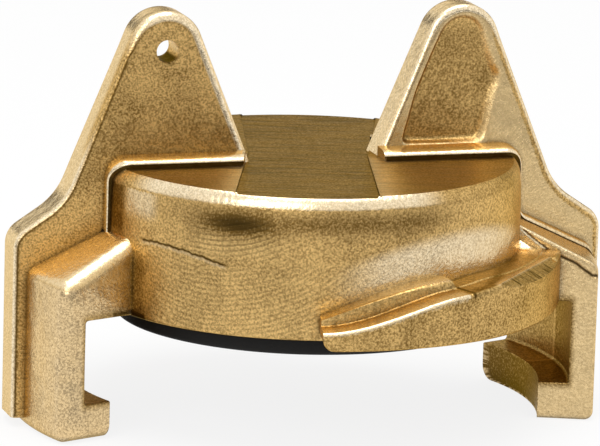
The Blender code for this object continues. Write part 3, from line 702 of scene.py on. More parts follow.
def top_patches():
    """The milled top: the last pass between its two sides, and a higher flat from each side out to the rim.

    Along the pass v runs from rim to rim, across it the sides stand at +-w(v). The flats end on the circle.
    """
    low_z = TOP_Z - PASS_DEPTH
    share = np.linspace(-1, 1, 61)[:, None]
    share = np.sign(share) * (1 - (1 - np.abs(share)) ** 1.6)
    reach = np.full_like(share, flat_radius(low_z))
    for _ in range(6):
        reach = np.sqrt(flat_radius(low_z) ** 2 - (share * pass_side(reach)) ** 2)
    along = reach * np.linspace(-1, 1, 161)[None, :]
    across = share * pass_side(along)
    burr = 0.12 * MM * np.sin(along / MM * 9) * np.sin(along / MM * 3.7) * np.abs(share) ** 12
    to_side = (1 - np.abs(share)) * pass_side(along)
    beside = bell(to_side, 0.0, 0.10 * MM)
    # Painted: the floor dark as the top's dark reflection, darker beside each side as the step's shadow line
    floor = Patch(pass_frame(across + burr, along, low_z), cut=0.75, stain_and_shade=np.maximum(1.06, 1.5 * beside))
    patches = [floor]
    for side in (-1, 1):
        v = along[0]
        inner = pass_side(v)
        outer = np.sqrt(np.maximum(flat_radius(TOP_Z) ** 2 - v ** 2, inner ** 2))
        out = np.linspace(0, 1, 61)[:, None] ** 1.5
        flat = pass_frame(side * (inner + (outer - inner) * out), v[None, :], TOP_Z)
        from_side = (outer - inner) * out
        # In the front half the flats are bare beside the pass, and elsewhere they are painted as dark as it
        # is, as the top's dark reflection
        in_front = smooth_step(-v / (2 * MM)) * np.ones_like(out)
        uneven = 0.75 + 0.25 * np.sin(v / MM * 5) * np.sin(v / MM * 2.3)
        bare = in_front * bell(from_side, 0.0, 1.8 * MM) * uneven
        patches.append(Patch(flat, wear_and_highlight=0.35 * bare, cut=0.45, stain_and_shade=0.92 - 0.8 * bare, flip=side < 0))
        # The step's wall is painted dark, as shade
        step = np.linspace(low_z, TOP_Z, 3)[:, None]
        wall = pass_frame(side * inner[None, :], v[None, :], step)
        patches.append(Patch(wall, cut=1.0, stain_and_shade=1.0, flip=side < 0))
    return patches


def hook_ring():
    """One turn round the hook's section: share of the wall's depth, lift off that share, inset and side.

    It runs over the outer face, round one end, along the inner face and back round the other, sharper end.
    The inset is measured from the end on the same side.
    """
    outer, inner = edges().claw_round, edges().hook_round
    turn = np.linspace(0, math.pi / 2, 9)
    across = np.linspace(-1, 1, 49)[1:-1]
    down = np.linspace(0, 1, 57)[1:-1]
    share = np.concatenate([0 * turn, down, 0 * turn + 1])
    ends = []
    for side, radius in ((1, outer), (-1, CLAW_CUT_ROUND)):
        lift = [radius * (1 - np.cos(turn)), radius - (radius + inner) * down, -inner * (1 - np.sin(turn))]
        inset = [radius * (1 - np.sin(turn)), 0 * down, inner * (1 - np.cos(turn))]
        ends.append(np.stack([share, np.concatenate(lift), np.concatenate(inset), np.full_like(share, side)]))
    top = np.stack([0 * across, 0 * across, np.interp(across, (-1, 1), (CLAW_CUT_ROUND, outer)), across])
    bottom = np.stack([0 * across + 1, 0 * across, np.full_like(across, inner), -across])
    return np.concatenate([top, ends[0], bottom, ends[1][:, ::-1]], axis=1)


def claw_end(inset):
    """1 on a claw's end face, falling to 0 on the faces beside it."""
    return smooth_step(1 - inset / (0.3 * MM))


def claw_marks(radius, height, part, inset, side, painted_crease_shade, below_groove):
    """Wear and painted highlights, cut metal, stain and painted shade on a hook: its shelf, ends, edges and
    machined inside each have their own.
    """
    on_end = claw_end(inset)
    inside = smooth_step(part * 4 - 3)
    outside = np.where(part < 0.02, 1.0, 0.0)
    on_shelf = smooth_step((height - SHOULDER_EDGE_Z + 0.6 * MM) / (0.5 * MM))
    shelf_edge = bell(part, 0.0, 0.16) * on_shelf * bell(inset, 0.7 * MM, 0.75 * MM) * (side > 0.999)
    root_line = bell(radius, BODY_RADIUS + 0.16 * MM, 0.16 * MM) * (side > 0) * on_end
    # Painted highlight on the wall under the groove
    end_wall = on_end * (side < 0) * smooth_step((height - END_WALL_LOW) / (0.6 * MM))
    end_wall = end_wall * smooth_step(below_groove * 6 / MM) * smooth_step((END_WALL_REACH - radius) / MM)
    clean = (1 - inside) * np.maximum(on_end * (side < 0), on_shelf)
    rubbed = strongest(
        0.95 * shelf_edge, 0.5 * outside * (1 - on_shelf), 0.62 * outside * on_shelf,
        0.3 * on_end * (1 - inside), 0.9 * root_line, 0.85 * end_wall,
        (0.42 - 0.2 * clean) * (1 - inside) * (1 - on_shelf),
    )
    root_shade = window(height, *ROOT_SHADE) * on_end * (side > 0) * (radius < ROOT_SHADE_REACH)
    cut_edge = (side < -0.999) * bell(part, 0.0, 0.10) * on_shelf
    # Painted shade inside the hook
    inside_shade = inside * (1.05 * (side < 0) + 0.7 * (side > 0))
    wear_and_highlight = rubbed * (1 - painted_crease_shade) * (1 - 0.9 * root_shade)
    stain_and_shade = strongest(inside_shade, 2.0 * painted_crease_shade, 1.4 * root_shade, 0.6 * cut_edge)
    return wear_and_highlight, 0.5 * inside + 0.9 * clean, stain_and_shade


def claw_patches():
    """A hook: a rounded rectangle carried down from the disc, between an outer path and an inner one.

    A point lies at the outer path plus its share of the way to the inner one, at an angle set by its inset.
    On the end above the ramp a shallow groove, painted black as a shadow line, runs down under the shoulder's
    rounded edge.
    """
    root = BODY_RADIUS - ROOT
    runs = (60, 90, 40)
    outer = rounded_path([
        (root, SHOULDER_Z + ROOT * math.tan(SHOULDER_SLOPE), 0),
        (CLAW_RADIUS, SHOULDER_EDGE_Z, edges().claw_round),
        (CLAW_RADIUS, 0.0, CLAW_TIP_ROUND),
        (LIP_RADIUS, 0.0, 0),
    ], runs, 10)
    inner = rounded_path([
        (root, CEILING_Z, 0),
        (GROOVE_RADIUS, CEILING_Z, HOOK_CORNER),
        (GROOVE_RADIUS, LIP_HEIGHT, HOOK_CORNER),
        (LIP_RADIUS, LIP_HEIGHT, 0),
    ], runs, 10)
    share, lift, inset, side = hook_ring()[:, None, :]
    part = share + lift / np.linalg.norm(inner - outer, axis=1)[:, None]
    radius = outer[:, :1] + (inner[:, :1] - outer[:, :1]) * part
    height = outer[:, 1:] + (inner[:, 1:] - outer[:, 1:]) * part
    below_groove = np.interp(radius, *SHADOW_GROOVE) - height
    groove_width = SHADOW_GROOVE_WIDTH + SHADOW_GROOVE_WIDENING * smooth_step((radius - BODY_RADIUS) / (8 * MM))
    # Painted shadow: the groove is painted black, as the shadow under the overhanging edge
    painted_crease_shade = bell(below_groove, 0.0, groove_width) * (side < 0) * (part < 0.6) * claw_end(inset)
    painted_crease_shade = painted_crease_shade * smooth_step((radius - BODY_RADIUS) / (0.5 * MM))
    angle = side * (CLAW_HALF_ANGLE - (inset + SHADOW_GROOVE_DEPTH * painted_crease_shade) / radius)
    wear_and_highlight, cut, stain_and_shade = claw_marks(radius, height, part, inset, side, painted_crease_shade, below_groove)
    body = Patch(
        cylindrical(radius, angle, height), wear_and_highlight=wear_and_highlight, cut=cut, stain_and_shade=stain_and_shade, close_columns=True)
    # The lip's inner face: the last section drawn together on its middle line
    closing = np.linspace(0, 1, 9)[:, None]
    cap = cylindrical(
        radius[-1], angle[-1] * (1 - closing), height[-1] + (LIP_HEIGHT / 2 - height[-1]) * closing)
    shade = 1.25 + 0.6 * smooth_step((LIP_HEIGHT * 0.7 - cap[..., 2]) / LIP_HEIGHT)
    return [body, Patch(cap, cut=0.3, stain_and_shade=shade, close_columns=True)]


def ramp_corners(turn):
    """At each angle the section's outer radius and the heights of its underside, its track and its guide.

    Then how far the guide's outer edge is worn down, and the radius where that wear starts.
    """
    run = np.clip((turn - RAMP_START) / (RAMP_CREST - RAMP_START), 0, 1)
    past = np.maximum(turn - RAMP_CREST, 0.0)
    radius = RAMP_RADIUS - (RAMP_RADIUS - RAMP_SEAT_RADIUS) * smooth_step(past / (RAMP_END - RAMP_CREST))
    low = CEILING_Z + rounding((turn - RAMP_START) * RAMP_RADIUS, RAMP_NOSE_ROUND)
    # Inside the claw the underside rises, so that it doesn't lie in the hook's ceiling
    low = low + 0.1 * MM * smooth_step((turn - RAMP_END) * RAMP_RADIUS / (0.3 * MM))
    seat = RAMP_SEAT_Z - RAMP_DETENT * (1 - smooth_step(past / RAMP_DETENT_ARC))
    climbing = RAMP_FOOT_Z + (RAMP_SEAT_Z - RAMP_RIDGE - RAMP_FOOT_Z) * smooth_step(run)
    foot = RAMP_FOOT_Z + RAMP_GUIDE
    guide = foot + (RAMP_SEAT_Z + RAMP_RIDGE - foot) * np.sin(math.pi / 2 * run)
    # The crest drops to the seat over a short stretch
    drop = smooth_step(past * RAMP_RADIUS / (0.5 * MM))
    track = climbing + (seat - climbing) * drop
    guide = guide + (seat - guide) * drop
    fall = RAMP_CREST_FALL * run * run * (1 - drop)
    brow = BODY_RADIUS + (RAMP_STEP_RADIUS - BODY_RADIUS) * (0.9 - 0.5 * run)
    return radius, low, track, guide, fall, brow


def ramp_section(turn):
    """The section's points in order: each run of it is sampled evenly, its worn edges as quarter ellipses."""
    radius, low, track, guide, fall, brow = (value[:, None] for value in ramp_corners(turn))
    root, step, edge = BODY_RADIUS - ROOT, RAMP_STEP_RADIUS, edges().ramp_round
    low_edge, ease = 0.2 * MM, 0.1 * MM
    quarter = np.linspace(0, math.pi / 2, 8)[None, :]
    even = np.linspace(0, 1, 14)[None, :]
    fine = np.linspace(0, 1, 26)[None, :]
    runs = [
        (root + (radius - low_edge - root) * even, low),
        (radius, low + low_edge + (track - edge - low - low_edge) * even),
        (radius - edge * (1 - np.cos(quarter)), track - edge * (1 - np.sin(quarter))),
        (radius - edge + (step + 1.5 * ease - radius + edge) * fine, track),
        (step - ease * even, track + ease + (guide - fall - track - ease) * even),
        (brow + (step - ease - brow) * np.cos(quarter), guide - fall * (1 - np.sin(quarter))),
        (brow + (root - brow) * even, guide),
    ]
    runs = [np.broadcast_arrays(*run) for run in runs]
    on_top = np.concatenate([np.full(r.shape[1], float(i > 1)) for i, (r, _) in enumerate(runs)])
    return np.concatenate([r for r, _ in runs], axis=1), np.concatenate([z for _, z in runs], axis=1), on_top


def ramp_turns():
    """The angles at which the section is drawn: close together on the nose and where the crest drops."""
    nose = RAMP_START + RAMP_NOSE_ROUND / RAMP_RADIUS * (1 - np.cos(np.linspace(0, math.pi / 2, 10)))
    past_nose = np.linspace(nose[-1], RAMP_CREST, 90)[1:]
    crest = RAMP_CREST + np.linspace(0, 0.6 * MM / RAMP_RADIUS, 9)[1:]
    seat = np.linspace(crest[-1], RAMP_END + ROOT / RAMP_RADIUS, 150)[1:]
    return np.concatenate([nose, past_nose, crest, seat])


def ramp_marks(turn, radius, height, outward, along, milled, on_top):
    """Wear and painted highlights, cut metal, stain and painted shade on a ramp.

    Wear and painted highlights brighten the track's edge, the guide and the ridge above the flat, and a
    painted highlight brightens the wall by the claw. Past the crest lie a painted shadow line and a painted
    shadow on the seat's floor, and the outer wall is painted darker, as a dark reflection.
    """
    turn = turn[:, None]
    past_crest = (turn - RAMP_CREST) * RAMP_RADIUS
    climbing = past_crest < 0
    track_edge = bell(height, ramp_corners(turn[:, 0])[2][:, None], 0.5 * MM) * on_top
    near_edge = smooth_step((radius - RAMP_STEP_RADIUS - 0.8 * MM) / (1.2 * MM))
    on_guide = smooth_step((RAMP_STEP_RADIUS - 0.3 * MM - radius) / (0.3 * MM)) * on_top * climbing
    ridge = bell(outward, FLAT_DISTANCE - 0.2 * MM, 0.22 * MM) * window(along, FLAT_START, FLAT_END, 0.5 * MM)
    ridge = ridge * (turn > RAMP_CREST) * on_top
    # Painted shadow just past the crest, where the crest hides the floor
    crest_shadow = bell(past_crest, 0.5 * MM, 0.3 * MM) * on_top
    degrees = np.degrees(turn)
    # Painted shadow on the seat's floor at the foot of the crest's drop
    run = bell(radius, np.interp(degrees, *SEAT_SHADOW), SEAT_SHADOW_WIDTH) * window(degrees, *SEAT_SHADOW_RANGE)
    run = run * on_top * (past_crest > 0)
    to_wall = np.maximum((RAMP_END - turn) * RAMP_STEP_RADIUS, 0.0)
    end_wall = smooth_step(1.6 - to_wall / (2.4 * MM)) * on_top * (outward < FLAT_DISTANCE)
    rubbed = strongest(
        0.9 * track_edge * near_edge * climbing, 0.85 * on_guide, 0.9 * ridge, 0.95 * end_wall)
    dark = strongest(
        1.6 * crest_shadow, 1.15 * run, np.where(milled, 0.8, 0.0), 0.35 * on_top * (past_crest > 0))
    # The outer wall and underside are painted darker, as a dark reflection
    dark = np.maximum(dark * (1 - end_wall), 0.3 * (1 - on_top))
    cut = np.where(milled, 1.0, 0.3 * on_top)
    return rubbed * (1 - np.minimum(crest_shadow, 1)), cut, dark * (1 - 0.8 * ridge)


def ramp_patches():
    """A cam ramp: its section carried round the axis, with the fillet at the claw's wall and the milled flat.

    The fillet adds a quarter-round near the wall, no higher than the shoulder allows at that radius.
    The flat is the lesser of the ramp's height and a plane that slopes outwards, with steep ends.
    """
    turn = ramp_turns()
    radius, height, on_top = ramp_section(turn)
    to_wall = np.maximum((RAMP_END - turn) * RAMP_STEP_RADIUS, 0.0)[:, None]
    shoulder = SHOULDER_Z - (radius - BODY_RADIUS) * math.tan(SHOULDER_SLOPE)
    room = np.maximum(shoulder - edges().claw_round - RAMP_SEAT_Z, 0.0)
    height = height + on_top * np.minimum(rounding(to_wall, RAMP_WALL_FILLET), room)

    points = cylindrical(radius, turn[:, None], height)
    outward = points[..., 0] * math.cos(FLAT_ANGLE) + points[..., 1] * math.sin(FLAT_ANGLE)
    along = -points[..., 0] * math.sin(FLAT_ANGLE) + points[..., 1] * math.cos(FLAT_ANGLE)
    plane = RAMP_SEAT_Z - (outward - FLAT_DISTANCE) * math.tan(FLAT_SLOPE)
    past_ends = np.maximum(FLAT_START - along, 0.0) + np.maximum(along - FLAT_END, 0.0)
    plane = plane + FLAT_END_STEEPNESS * past_ends
    milled = (outward > FLAT_DISTANCE) & (plane < height)
    points[..., 2] = np.where(milled, plane, height)
    wear_and_highlight, cut, stain_and_shade = ramp_marks(turn, radius, points[..., 2], outward, along, milled, on_top)
    body = Patch(points, wear_and_highlight=wear_and_highlight, cut=cut, stain_and_shade=stain_and_shade)

    # The nose's end face: its section drawn together on a point that sees all of it
    closing = np.linspace(0, 1, 5)[:, None, None]
    ring = np.stack([radius[0], points[0, :, 2]], axis=1)
    _, low, track, *_ = ramp_corners(turn[:1])
    middle = np.array([RAMP_STEP_RADIUS - MM, (low[0] + track[0]) / 2])
    end = ring + (middle - ring) * closing
    end = cylindrical(end[..., 0], turn[0], end[..., 1])
    return [body, Patch(end, wear_and_highlight=0.3, close_columns=True, flip=True)]


def ear_tip():
    """Centre of an ear's round tip, in X and Z."""
    centre_z = EAR_TOP_Z - EAR_TIP_RADIUS
    touch_z = centre_z + EAR_TIP_RADIUS * math.cos(EAR_SIDE_ANGLE)
    touch_x = EAR_FOOT + (touch_z - TOP_Z) / math.tan(EAR_SIDE_ANGLE)
    return touch_x + EAR_TIP_RADIUS * math.sin(EAR_SIDE_ANGLE), centre_z


def ear_outline():
    """The ear's outline in two parts: up its inner side, over the tip and down to its base, then the rest.

    The second part goes round the waist and the shoulder to the rib's foot.
    """
    tip_x, tip_z = ear_tip()
    lean = 1 / math.tan(EAR_SIDE_ANGLE)
    apex_z = tip_z + EAR_TIP_RADIUS / math.cos(EAR_SIDE_ANGLE)
    slope = math.tan(RIB_SHOULDER_SLOPE)
    shoulder_z = SHOULDER_EDGE_Z + RIB_SHOULDER_LIFT
    waist_x = (tip_x + (apex_z - shoulder_z - RIB_RADIUS * slope) * lean) / (1 - slope * lean)
    waist_z = shoulder_z + (RIB_RADIUS - waist_x) * slope
    base = (tip_x + (apex_z - EAR_BASE_Z) * lean, EAR_BASE_Z, 0.0)
    fin = rounded_path(
        [(EAR_FOOT - (TOP_Z - EAR_BASE_Z) * lean, EAR_BASE_Z, 0.0), (tip_x, apex_z, EAR_TIP_RADIUS), base],
        (INNER_POINTS, OUTER_POINTS), TIP_POINTS + 2,
    )
    rib = rounded_path(
        [base, (waist_x, waist_z, EAR_WAIST_ROUND), (RIB_RADIUS, shoulder_z, RIB_SHOULDER_ROUND),
         (RIB_RADIUS, RIB_FOOT, 0.0)],
        (6, 20, 80), 40,
    )
    return fin, rib


def softened(loop):
    """A closed loop with softened corners: each point moves towards the middle between its neighbours."""
    for _ in range(POCKET_EASE):
        loop = (np.roll(loop, 1, axis=0) + 2 * loop + np.roll(loop, -1, axis=0)) / 4
    return loop


def pocket_outline():
    """The pocket's edge, matched point by point to the ear's: inner side, tip, stepped outer side, floor."""
    inner, outer = math.tan(POCKET_INNER_LEAN), math.tan(POCKET_KNEE_LEAN)
    rise = (POCKET_KNEE - POCKET_INNER_SIDE + (POCKET_KNEE_Z - POCKET_FLOOR_Z) * outer) / (inner + outer)
    corner = (POCKET_INNER_SIDE, POCKET_FLOOR_Z, 0.0)
    knee = (POCKET_KNEE, POCKET_KNEE_Z, 0.0)
    over = rounded_path(
        [corner, (POCKET_INNER_SIDE + rise * inner, POCKET_FLOOR_Z + rise, POCKET_TIP_RADIUS), knee],
        (INNER_POINTS, OUTER_POINTS // 2), TIP_POINTS + 2,
    )
    down = np.array([
        knee[:2], (POCKET_OUTER_SIDE + POCKET_STEP, POCKET_STEP_Z), (POCKET_OUTER_SIDE, POCKET_FLOOR_Z)])
    down = evenly(down, OUTER_POINTS - OUTER_POINTS // 2 + 1)[1:]
    floor = down[-1] + (np.array(corner[:2]) - down[-1]) * np.linspace(0, 1, BASE_POINTS + 2)[1:-1, None]
    return softened(np.concatenate([over, down, floor]))


def inward_normals(path, closed=False):
    """Unit normals to the right of a path's running direction, worked out from its neighbouring points."""
    if closed:
        tangent = np.roll(path, -1, axis=0) - np.roll(path, 1, axis=0)
    else:
        tangent = np.gradient(path, axis=0)
    tangent = tangent / np.linalg.norm(tangent, axis=1)[:, None]
    return np.stack([tangent[:, 1], -tangent[:, 0]], axis=1)


def ear_half_thickness(z):
    """Half the ear's thickness at a height: the forging's draft thins it evenly towards the tip."""
    rise = np.clip((z - TOP_Z) / (EAR_TOP_Z - TOP_Z), 0, 1)
    return EAR_HALF_THICKNESS + (EAR_TIP_HALF_THICKNESS - EAR_HALF_THICKNESS) * rise


def edge_rings(path, normals, radius, side):
    """Rings over the ear's edge from its middle line to one face: a flat, then a quarter-round."""
    quarter = np.linspace(0, math.pi / 2, 12)[:, None]
    flat = np.linspace(0, 1, 5)[:-1, None]
    inset = np.concatenate([0 * flat * radius, radius * (1 - np.cos(quarter))])
    level = np.concatenate([
        flat * (EAR_HALF_THICKNESS - radius), EAR_HALF_THICKNESS - radius * (1 - np.sin(quarter))])
    places = path[None] + normals[None] * inset[..., None]
    y = level * ear_half_thickness(places[..., 1]) / EAR_HALF_THICKNESS
    return np.stack([places[..., 0], side * y, places[..., 1]], axis=-1), inset


def face_marks(distance, reach, edge_shade):
    """Wear and painted highlight, then painted shade, at a distance from the ear's edge: rubbed bright out to
    a reach, then a thin dark line painted as shade.
    """
    rubbed = smooth_step((reach - distance) / (0.25 * MM) + 0.5)
    dark = bell(distance - reach, 0.15 * MM, 0.16 * MM) * edge_shade
    return rubbed, dark


def along_fin(values):
    """A value for each point of the fin's outline, from those of its inner side, tip and outer side."""
    stretch = np.repeat((0.0, 1.0, 2.0), (INNER_POINTS, TIP_POINTS, OUTER_POINTS))
    return np.interp(moving_mean(stretch, 12, "edge"), (0, 1, 2), values)


def pocket_walls(ring, normals, pocketed):
    """Rings across the pocket's wall, kept a margin inside the ear's edge, and the wall's width."""
    pocket = pocket_outline()
    bevel = np.full(len(pocket), POCKET_WALL)
    bevel[INNER_POINTS + TIP_POINTS:-BASE_POINTS] = POCKET_BEVEL if pocketed else POCKET_WALL
    bevel = moving_mean(bevel, 20, "wrap")
    across = np.linspace(-0.5, 0.5, WALL_RINGS)[:, None, None] * bevel[:, None]
    first = pocket + inward_normals(pocket, closed=True) * across[0]
    gap = np.sum((first - ring)[:len(normals)] * normals, axis=1)
    short = np.concatenate([np.maximum(POCKET_MARGIN - gap, 0.0), np.zeros(BASE_POINTS)])
    to_edge = np.concatenate([normals, np.zeros((BASE_POINTS, 2))])
    pocket = softened(pocket + to_edge * moving_mean(short, 6, "wrap")[:, None])
    return pocket + inward_normals(pocket, closed=True) * across, bevel


def fin_face(look, side, holed, fin, normals, ring):
    """The fin's face: rings from its edge, past the pocket's wall, to the hole or the middle.

    Depth follows a smooth step across the pocket's wall, and the last rings run straight to the circle.
    """
    pocketed = look["pocketed"]
    walls, bevel = pocket_walls(ring, normals, pocketed)
    middle = np.array([ear_tip()[0], EAR_TOP_Z - CHAIN_HOLE_DROP if holed else POCKET_KNEE_Z])
    away = walls[-1] - middle
    hole = middle + away / np.linalg.norm(away, axis=1)[:, None] * (CHAIN_HOLE_RADIUS if holed else 0.0)
    to_pocket = (np.linspace(0, 1, EDGE_RINGS + 1) ** 1.3)[:-1, None, None]
    to_hole = np.linspace(0, 1, HOLE_RINGS + 1)[1:, None, None]
    rings = np.concatenate([
        ring + (walls[0] - ring) * to_pocket, walls, walls[-1] + (hole - walls[-1]) * to_hole])
    step = np.linspace(0, 1, WALL_RINGS)
    inside = np.concatenate([np.zeros(EDGE_RINGS), smooth_step(step), np.ones(HOLE_RINGS)])[:, None]
    x, z = rings[..., 0], rings[..., 1]
    rise = np.clip((z - POCKET_FLOOR_Z) / (EAR_TOP_Z - POCKET_FLOOR_Z), 0, 1)
    depth = (POCKET_DEPTH + (POCKET_TIP_DEPTH - POCKET_DEPTH) * rise) * inside * pocketed
    points = np.stack([x, side * (ear_half_thickness(z) - depth), z], axis=-1)

    # The base line is no edge, so it counts as far away
    distance = np.full(x.shape, 9 * MM)
    distance[:, :len(fin)] = np.linalg.norm(rings[:, :len(fin)] - fin, axis=-1)
    no_edge = np.zeros(BASE_POINTS)
    reach = np.concatenate([along_fin(look["reach"]), no_edge])
    edge_shade = np.concatenate([along_fin(look["edge_shade"]), no_edge])
    rubbed, dark = face_marks(distance, reach, edge_shade)
    clean = pocketed * (1 - inside) * np.ones_like(rubbed)
    rubbed = np.maximum(rubbed, 0.25 * clean)
    # Painted shade: the pocket's wall, its lower floor and a plain face low down are painted dark
    on_wall = np.concatenate([np.zeros(EDGE_RINGS), np.sin(math.pi * step), np.zeros(HOLE_RINGS)])[:, None]
    steep = smooth_step((POCKET_BEVEL - bevel) / (POCKET_BEVEL - POCKET_WALL))
    deep = 0.5 * inside * smooth_step((POCKET_SHADE[0] - z) / POCKET_SHADE[1]) * pocketed
    low_shade = 0.45 * smooth_step((LOW_FACE_SHADE[0] - z) / LOW_FACE_SHADE[1]) * (1 - pocketed)
    dark = strongest(dark, 0.9 * on_wall * steep * pocketed, deep, low_shade * (1 - rubbed))
    return Patch(points, wear_and_highlight=rubbed, cut=clean, stain_and_shade=dark, flip=side > 0, close_columns=True)


def rib_patches(look, side, rib, base_z):
    """The rib's face, which ends inside the disc and the claw's wall, and its edge."""
    radius, reach, edge_shade = (look[key][2] for key in ("edge", "reach", "edge_shade"))
    band, inset = edge_rings(rib, inward_normals(rib), np.full(len(rib), radius), side)
    start = band[-1][:, (0, 2)]
    at = np.arange(len(rib))
    knots = (*RIB_INNER_AT, len(rib) - 1)
    inner = np.stack([
        np.interp(at, knots, RIB_INNER_X),
        np.interp(at, knots, (base_z, *RIB_INNER_Z)),
    ], axis=1)
    face = start + (inner - start) * (np.linspace(0, 1, EDGE_RINGS + 1) ** 1.3)[:, None, None]
    x, z = face[..., 0], face[..., 1]
    points = np.stack([x, side * ear_half_thickness(z), z], axis=-1)
    rubbed, dark = face_marks(np.linalg.norm(face - rib, axis=-1), reach, edge_shade)
    rubbed = np.maximum(rubbed, 0.25 * look["pocketed"])
    face = Patch(points, wear_and_highlight=rubbed, cut=look["pocketed"], stain_and_shade=dark, flip=side > 0)
    rubbed, dark = face_marks(inset, reach, edge_shade)
    return face, Patch(band, wear_and_highlight=rubbed, stain_and_shade=dark, flip=side > 0)


def ear_face(look, side, holed):
    """One face of the ear and its rib with their edges, then the hole's ring and the points at the foot."""
    fin, rib = ear_outline()
    normals = inward_normals(fin)
    band, inset = edge_rings(fin, normals, along_fin(look["edge"]), side)
    rubbed, dark = face_marks(inset, along_fin(look["reach"]), along_fin(look["edge_shade"]))
    fade = along_fin(look["fade"]) * smooth_step((fin[:, 1] - EAR_BASE_Z) / (6 * MM))
    rubbed = rubbed * (1 - fade * smooth_step(1.7 * np.abs(band[..., 1]) / EAR_HALF_THICKNESS - 0.2))
    edge = Patch(band, wear_and_highlight=rubbed, stain_and_shade=dark, flip=side > 0)
    # The face's outline is a closed ring, in which the base line joins both ends of the edge
    ring = band[-1][:, (0, 2)]
    share = np.linspace(0, 1, BASE_POINTS + 2)[1:-1, None]
    ring = np.concatenate([ring, ring[-1] + (ring[0] - ring[-1]) * share])
    face = fin_face(look, side, holed, fin, normals, ring)
    rib_face, rib_edge = rib_patches(look, side, rib, band[-1][-1, 2])
    foot = np.concatenate([rib_edge.points[:, -1], rib_face.points[:, -1]])
    return [edge, face, rib_face, rib_edge], face.points[-1], foot


def ear_patches(holed, front, back):
    """An ear with its rib: both faces, the chain hole's wall and the rib's foot."""
    first, first_hole, first_foot = ear_face(front, -1, holed)
    second, second_hole, second_foot = ear_face(back, 1, holed)
    patches = first + second
    if holed:
        share = np.linspace(0, 1, 7)[:, None, None]
        wall = first_hole + (second_hole - first_hole) * share
        # The hole's wall is painted bright above, as a highlight, and dark below, as shade
        below = (EAR_TOP_Z - CHAIN_HOLE_DROP - wall[..., 2]) / CHAIN_HOLE_RADIUS
        patches.append(Patch(
            wall, wear_and_highlight=0.9 * smooth_step(0.6 - below), stain_and_shade=1.9 * smooth_step(3 * below - 1.2),
            close_columns=True,
        ))
    patches.append(Patch(np.stack([first_foot, second_foot]), wear_and_highlight=0.2, flip=True))
    return patches


def pass_edge(y):
    """X at which the mill's last pass ends at y, on the right: u = w(v) in the pass's turned frame."""
    v = y / math.cos(PASS_TURN)
    for _ in range(12):
        v = (y - pass_side(v) * math.sin(PASS_TURN)) / math.cos(PASS_TURN)
    return pass_side(v) * math.cos(PASS_TURN) - v * math.sin(PASS_TURN)


def ledge_corner():
    """Middle of the rounding by which a fillet passes over the disc's rim."""
    return BODY_RADIUS - LEDGE_CORNER, CROWN_Z - LEDGE_CORNER


def over_rim(onto_shoulder):
    """A fillet's path along the top, round the rim and down the side: X, height, facing, width and rise."""
    centre_x, centre_z = ledge_corner()
    facing = math.pi / 2 - SHOULDER_SLOPE
    # Where the path bends, it comes out on the shoulder's slope
    bend_z = SHOULDER_Z - LEDGE_BEND * (1 - math.cos(facing)) * math.tan(SHOULDER_SLOPE)
    bend_z = bend_z + LEDGE_BEND * math.sin(facing)
    foot = bend_z - 0.05 * MM if onto_shoulder else SHOULDER_Z - ROOT
    quarter = np.linspace(math.pi / 2, 0, 24)
    top = np.linspace(LEDGE_START, centre_x, 60)[:-1]
    down = np.linspace(centre_z, foot, 20)[1:]
    x = np.concatenate([top, centre_x + LEDGE_CORNER * np.cos(quarter), np.full(19, BODY_RADIUS)])
    z = np.concatenate([np.full(59, CROWN_Z), centre_z + LEDGE_CORNER * np.sin(quarter), down])
    turn = np.concatenate([np.full(59, math.pi / 2), quarter, np.zeros(19)])
    share = 1 + (LEDGE_SIDE_SHARE - 1) * smooth_step(1 - turn / (math.pi / 2))
    return x, z, turn, LEDGE_WIDTH * share, LEDGE_LIFT * LEDGE_ROOT_LIFT * share


def along_shoulder(from_z, from_width, from_rise):
    """The path on from the disc's side: it bends, follows the shoulder's slope and dies away past it."""
    facing = math.pi / 2 - SHOULDER_SLOPE
    swing, over = np.linspace(0, facing, 14)[1:], np.linspace(facing, 0, 14)[1:]
    bend_x = BODY_RADIUS + LEDGE_BEND * (1 - np.cos(swing))
    bend_z = from_z - LEDGE_BEND * np.sin(swing)
    edge = edges().claw_round
    tangent = edge * math.tan(facing / 2)
    run = np.linspace(0, 1, 30)[1:] * (CLAW_RADIUS - tangent * math.cos(SHOULDER_SLOPE) - bend_x[-1])
    over_x = CLAW_RADIUS - edge + edge * np.cos(over)
    over_z = SHOULDER_EDGE_Z - 0.05 * MM - tangent + edge * np.sin(over)
    x = np.concatenate([bend_x, bend_x[-1] + run, over_x])
    z = np.concatenate([bend_z, bend_z[-1] - run * math.tan(SHOULDER_SLOPE), over_z])
    turn = np.concatenate([swing, np.full(29, facing), over])
    spread = np.concatenate([np.linspace(0, 1, 13), np.ones(42)])
    width = from_width + (SHOULDER_FILLET_WIDTH - from_width) * spread
    rise = from_rise + (SHOULDER_FILLET_RISE - from_rise) * spread
    rise[-13:] = SHOULDER_FILLET_RISE * (1 - 1.4 * smooth_step(1 - over / facing))
    return x, z, turn, width, rise


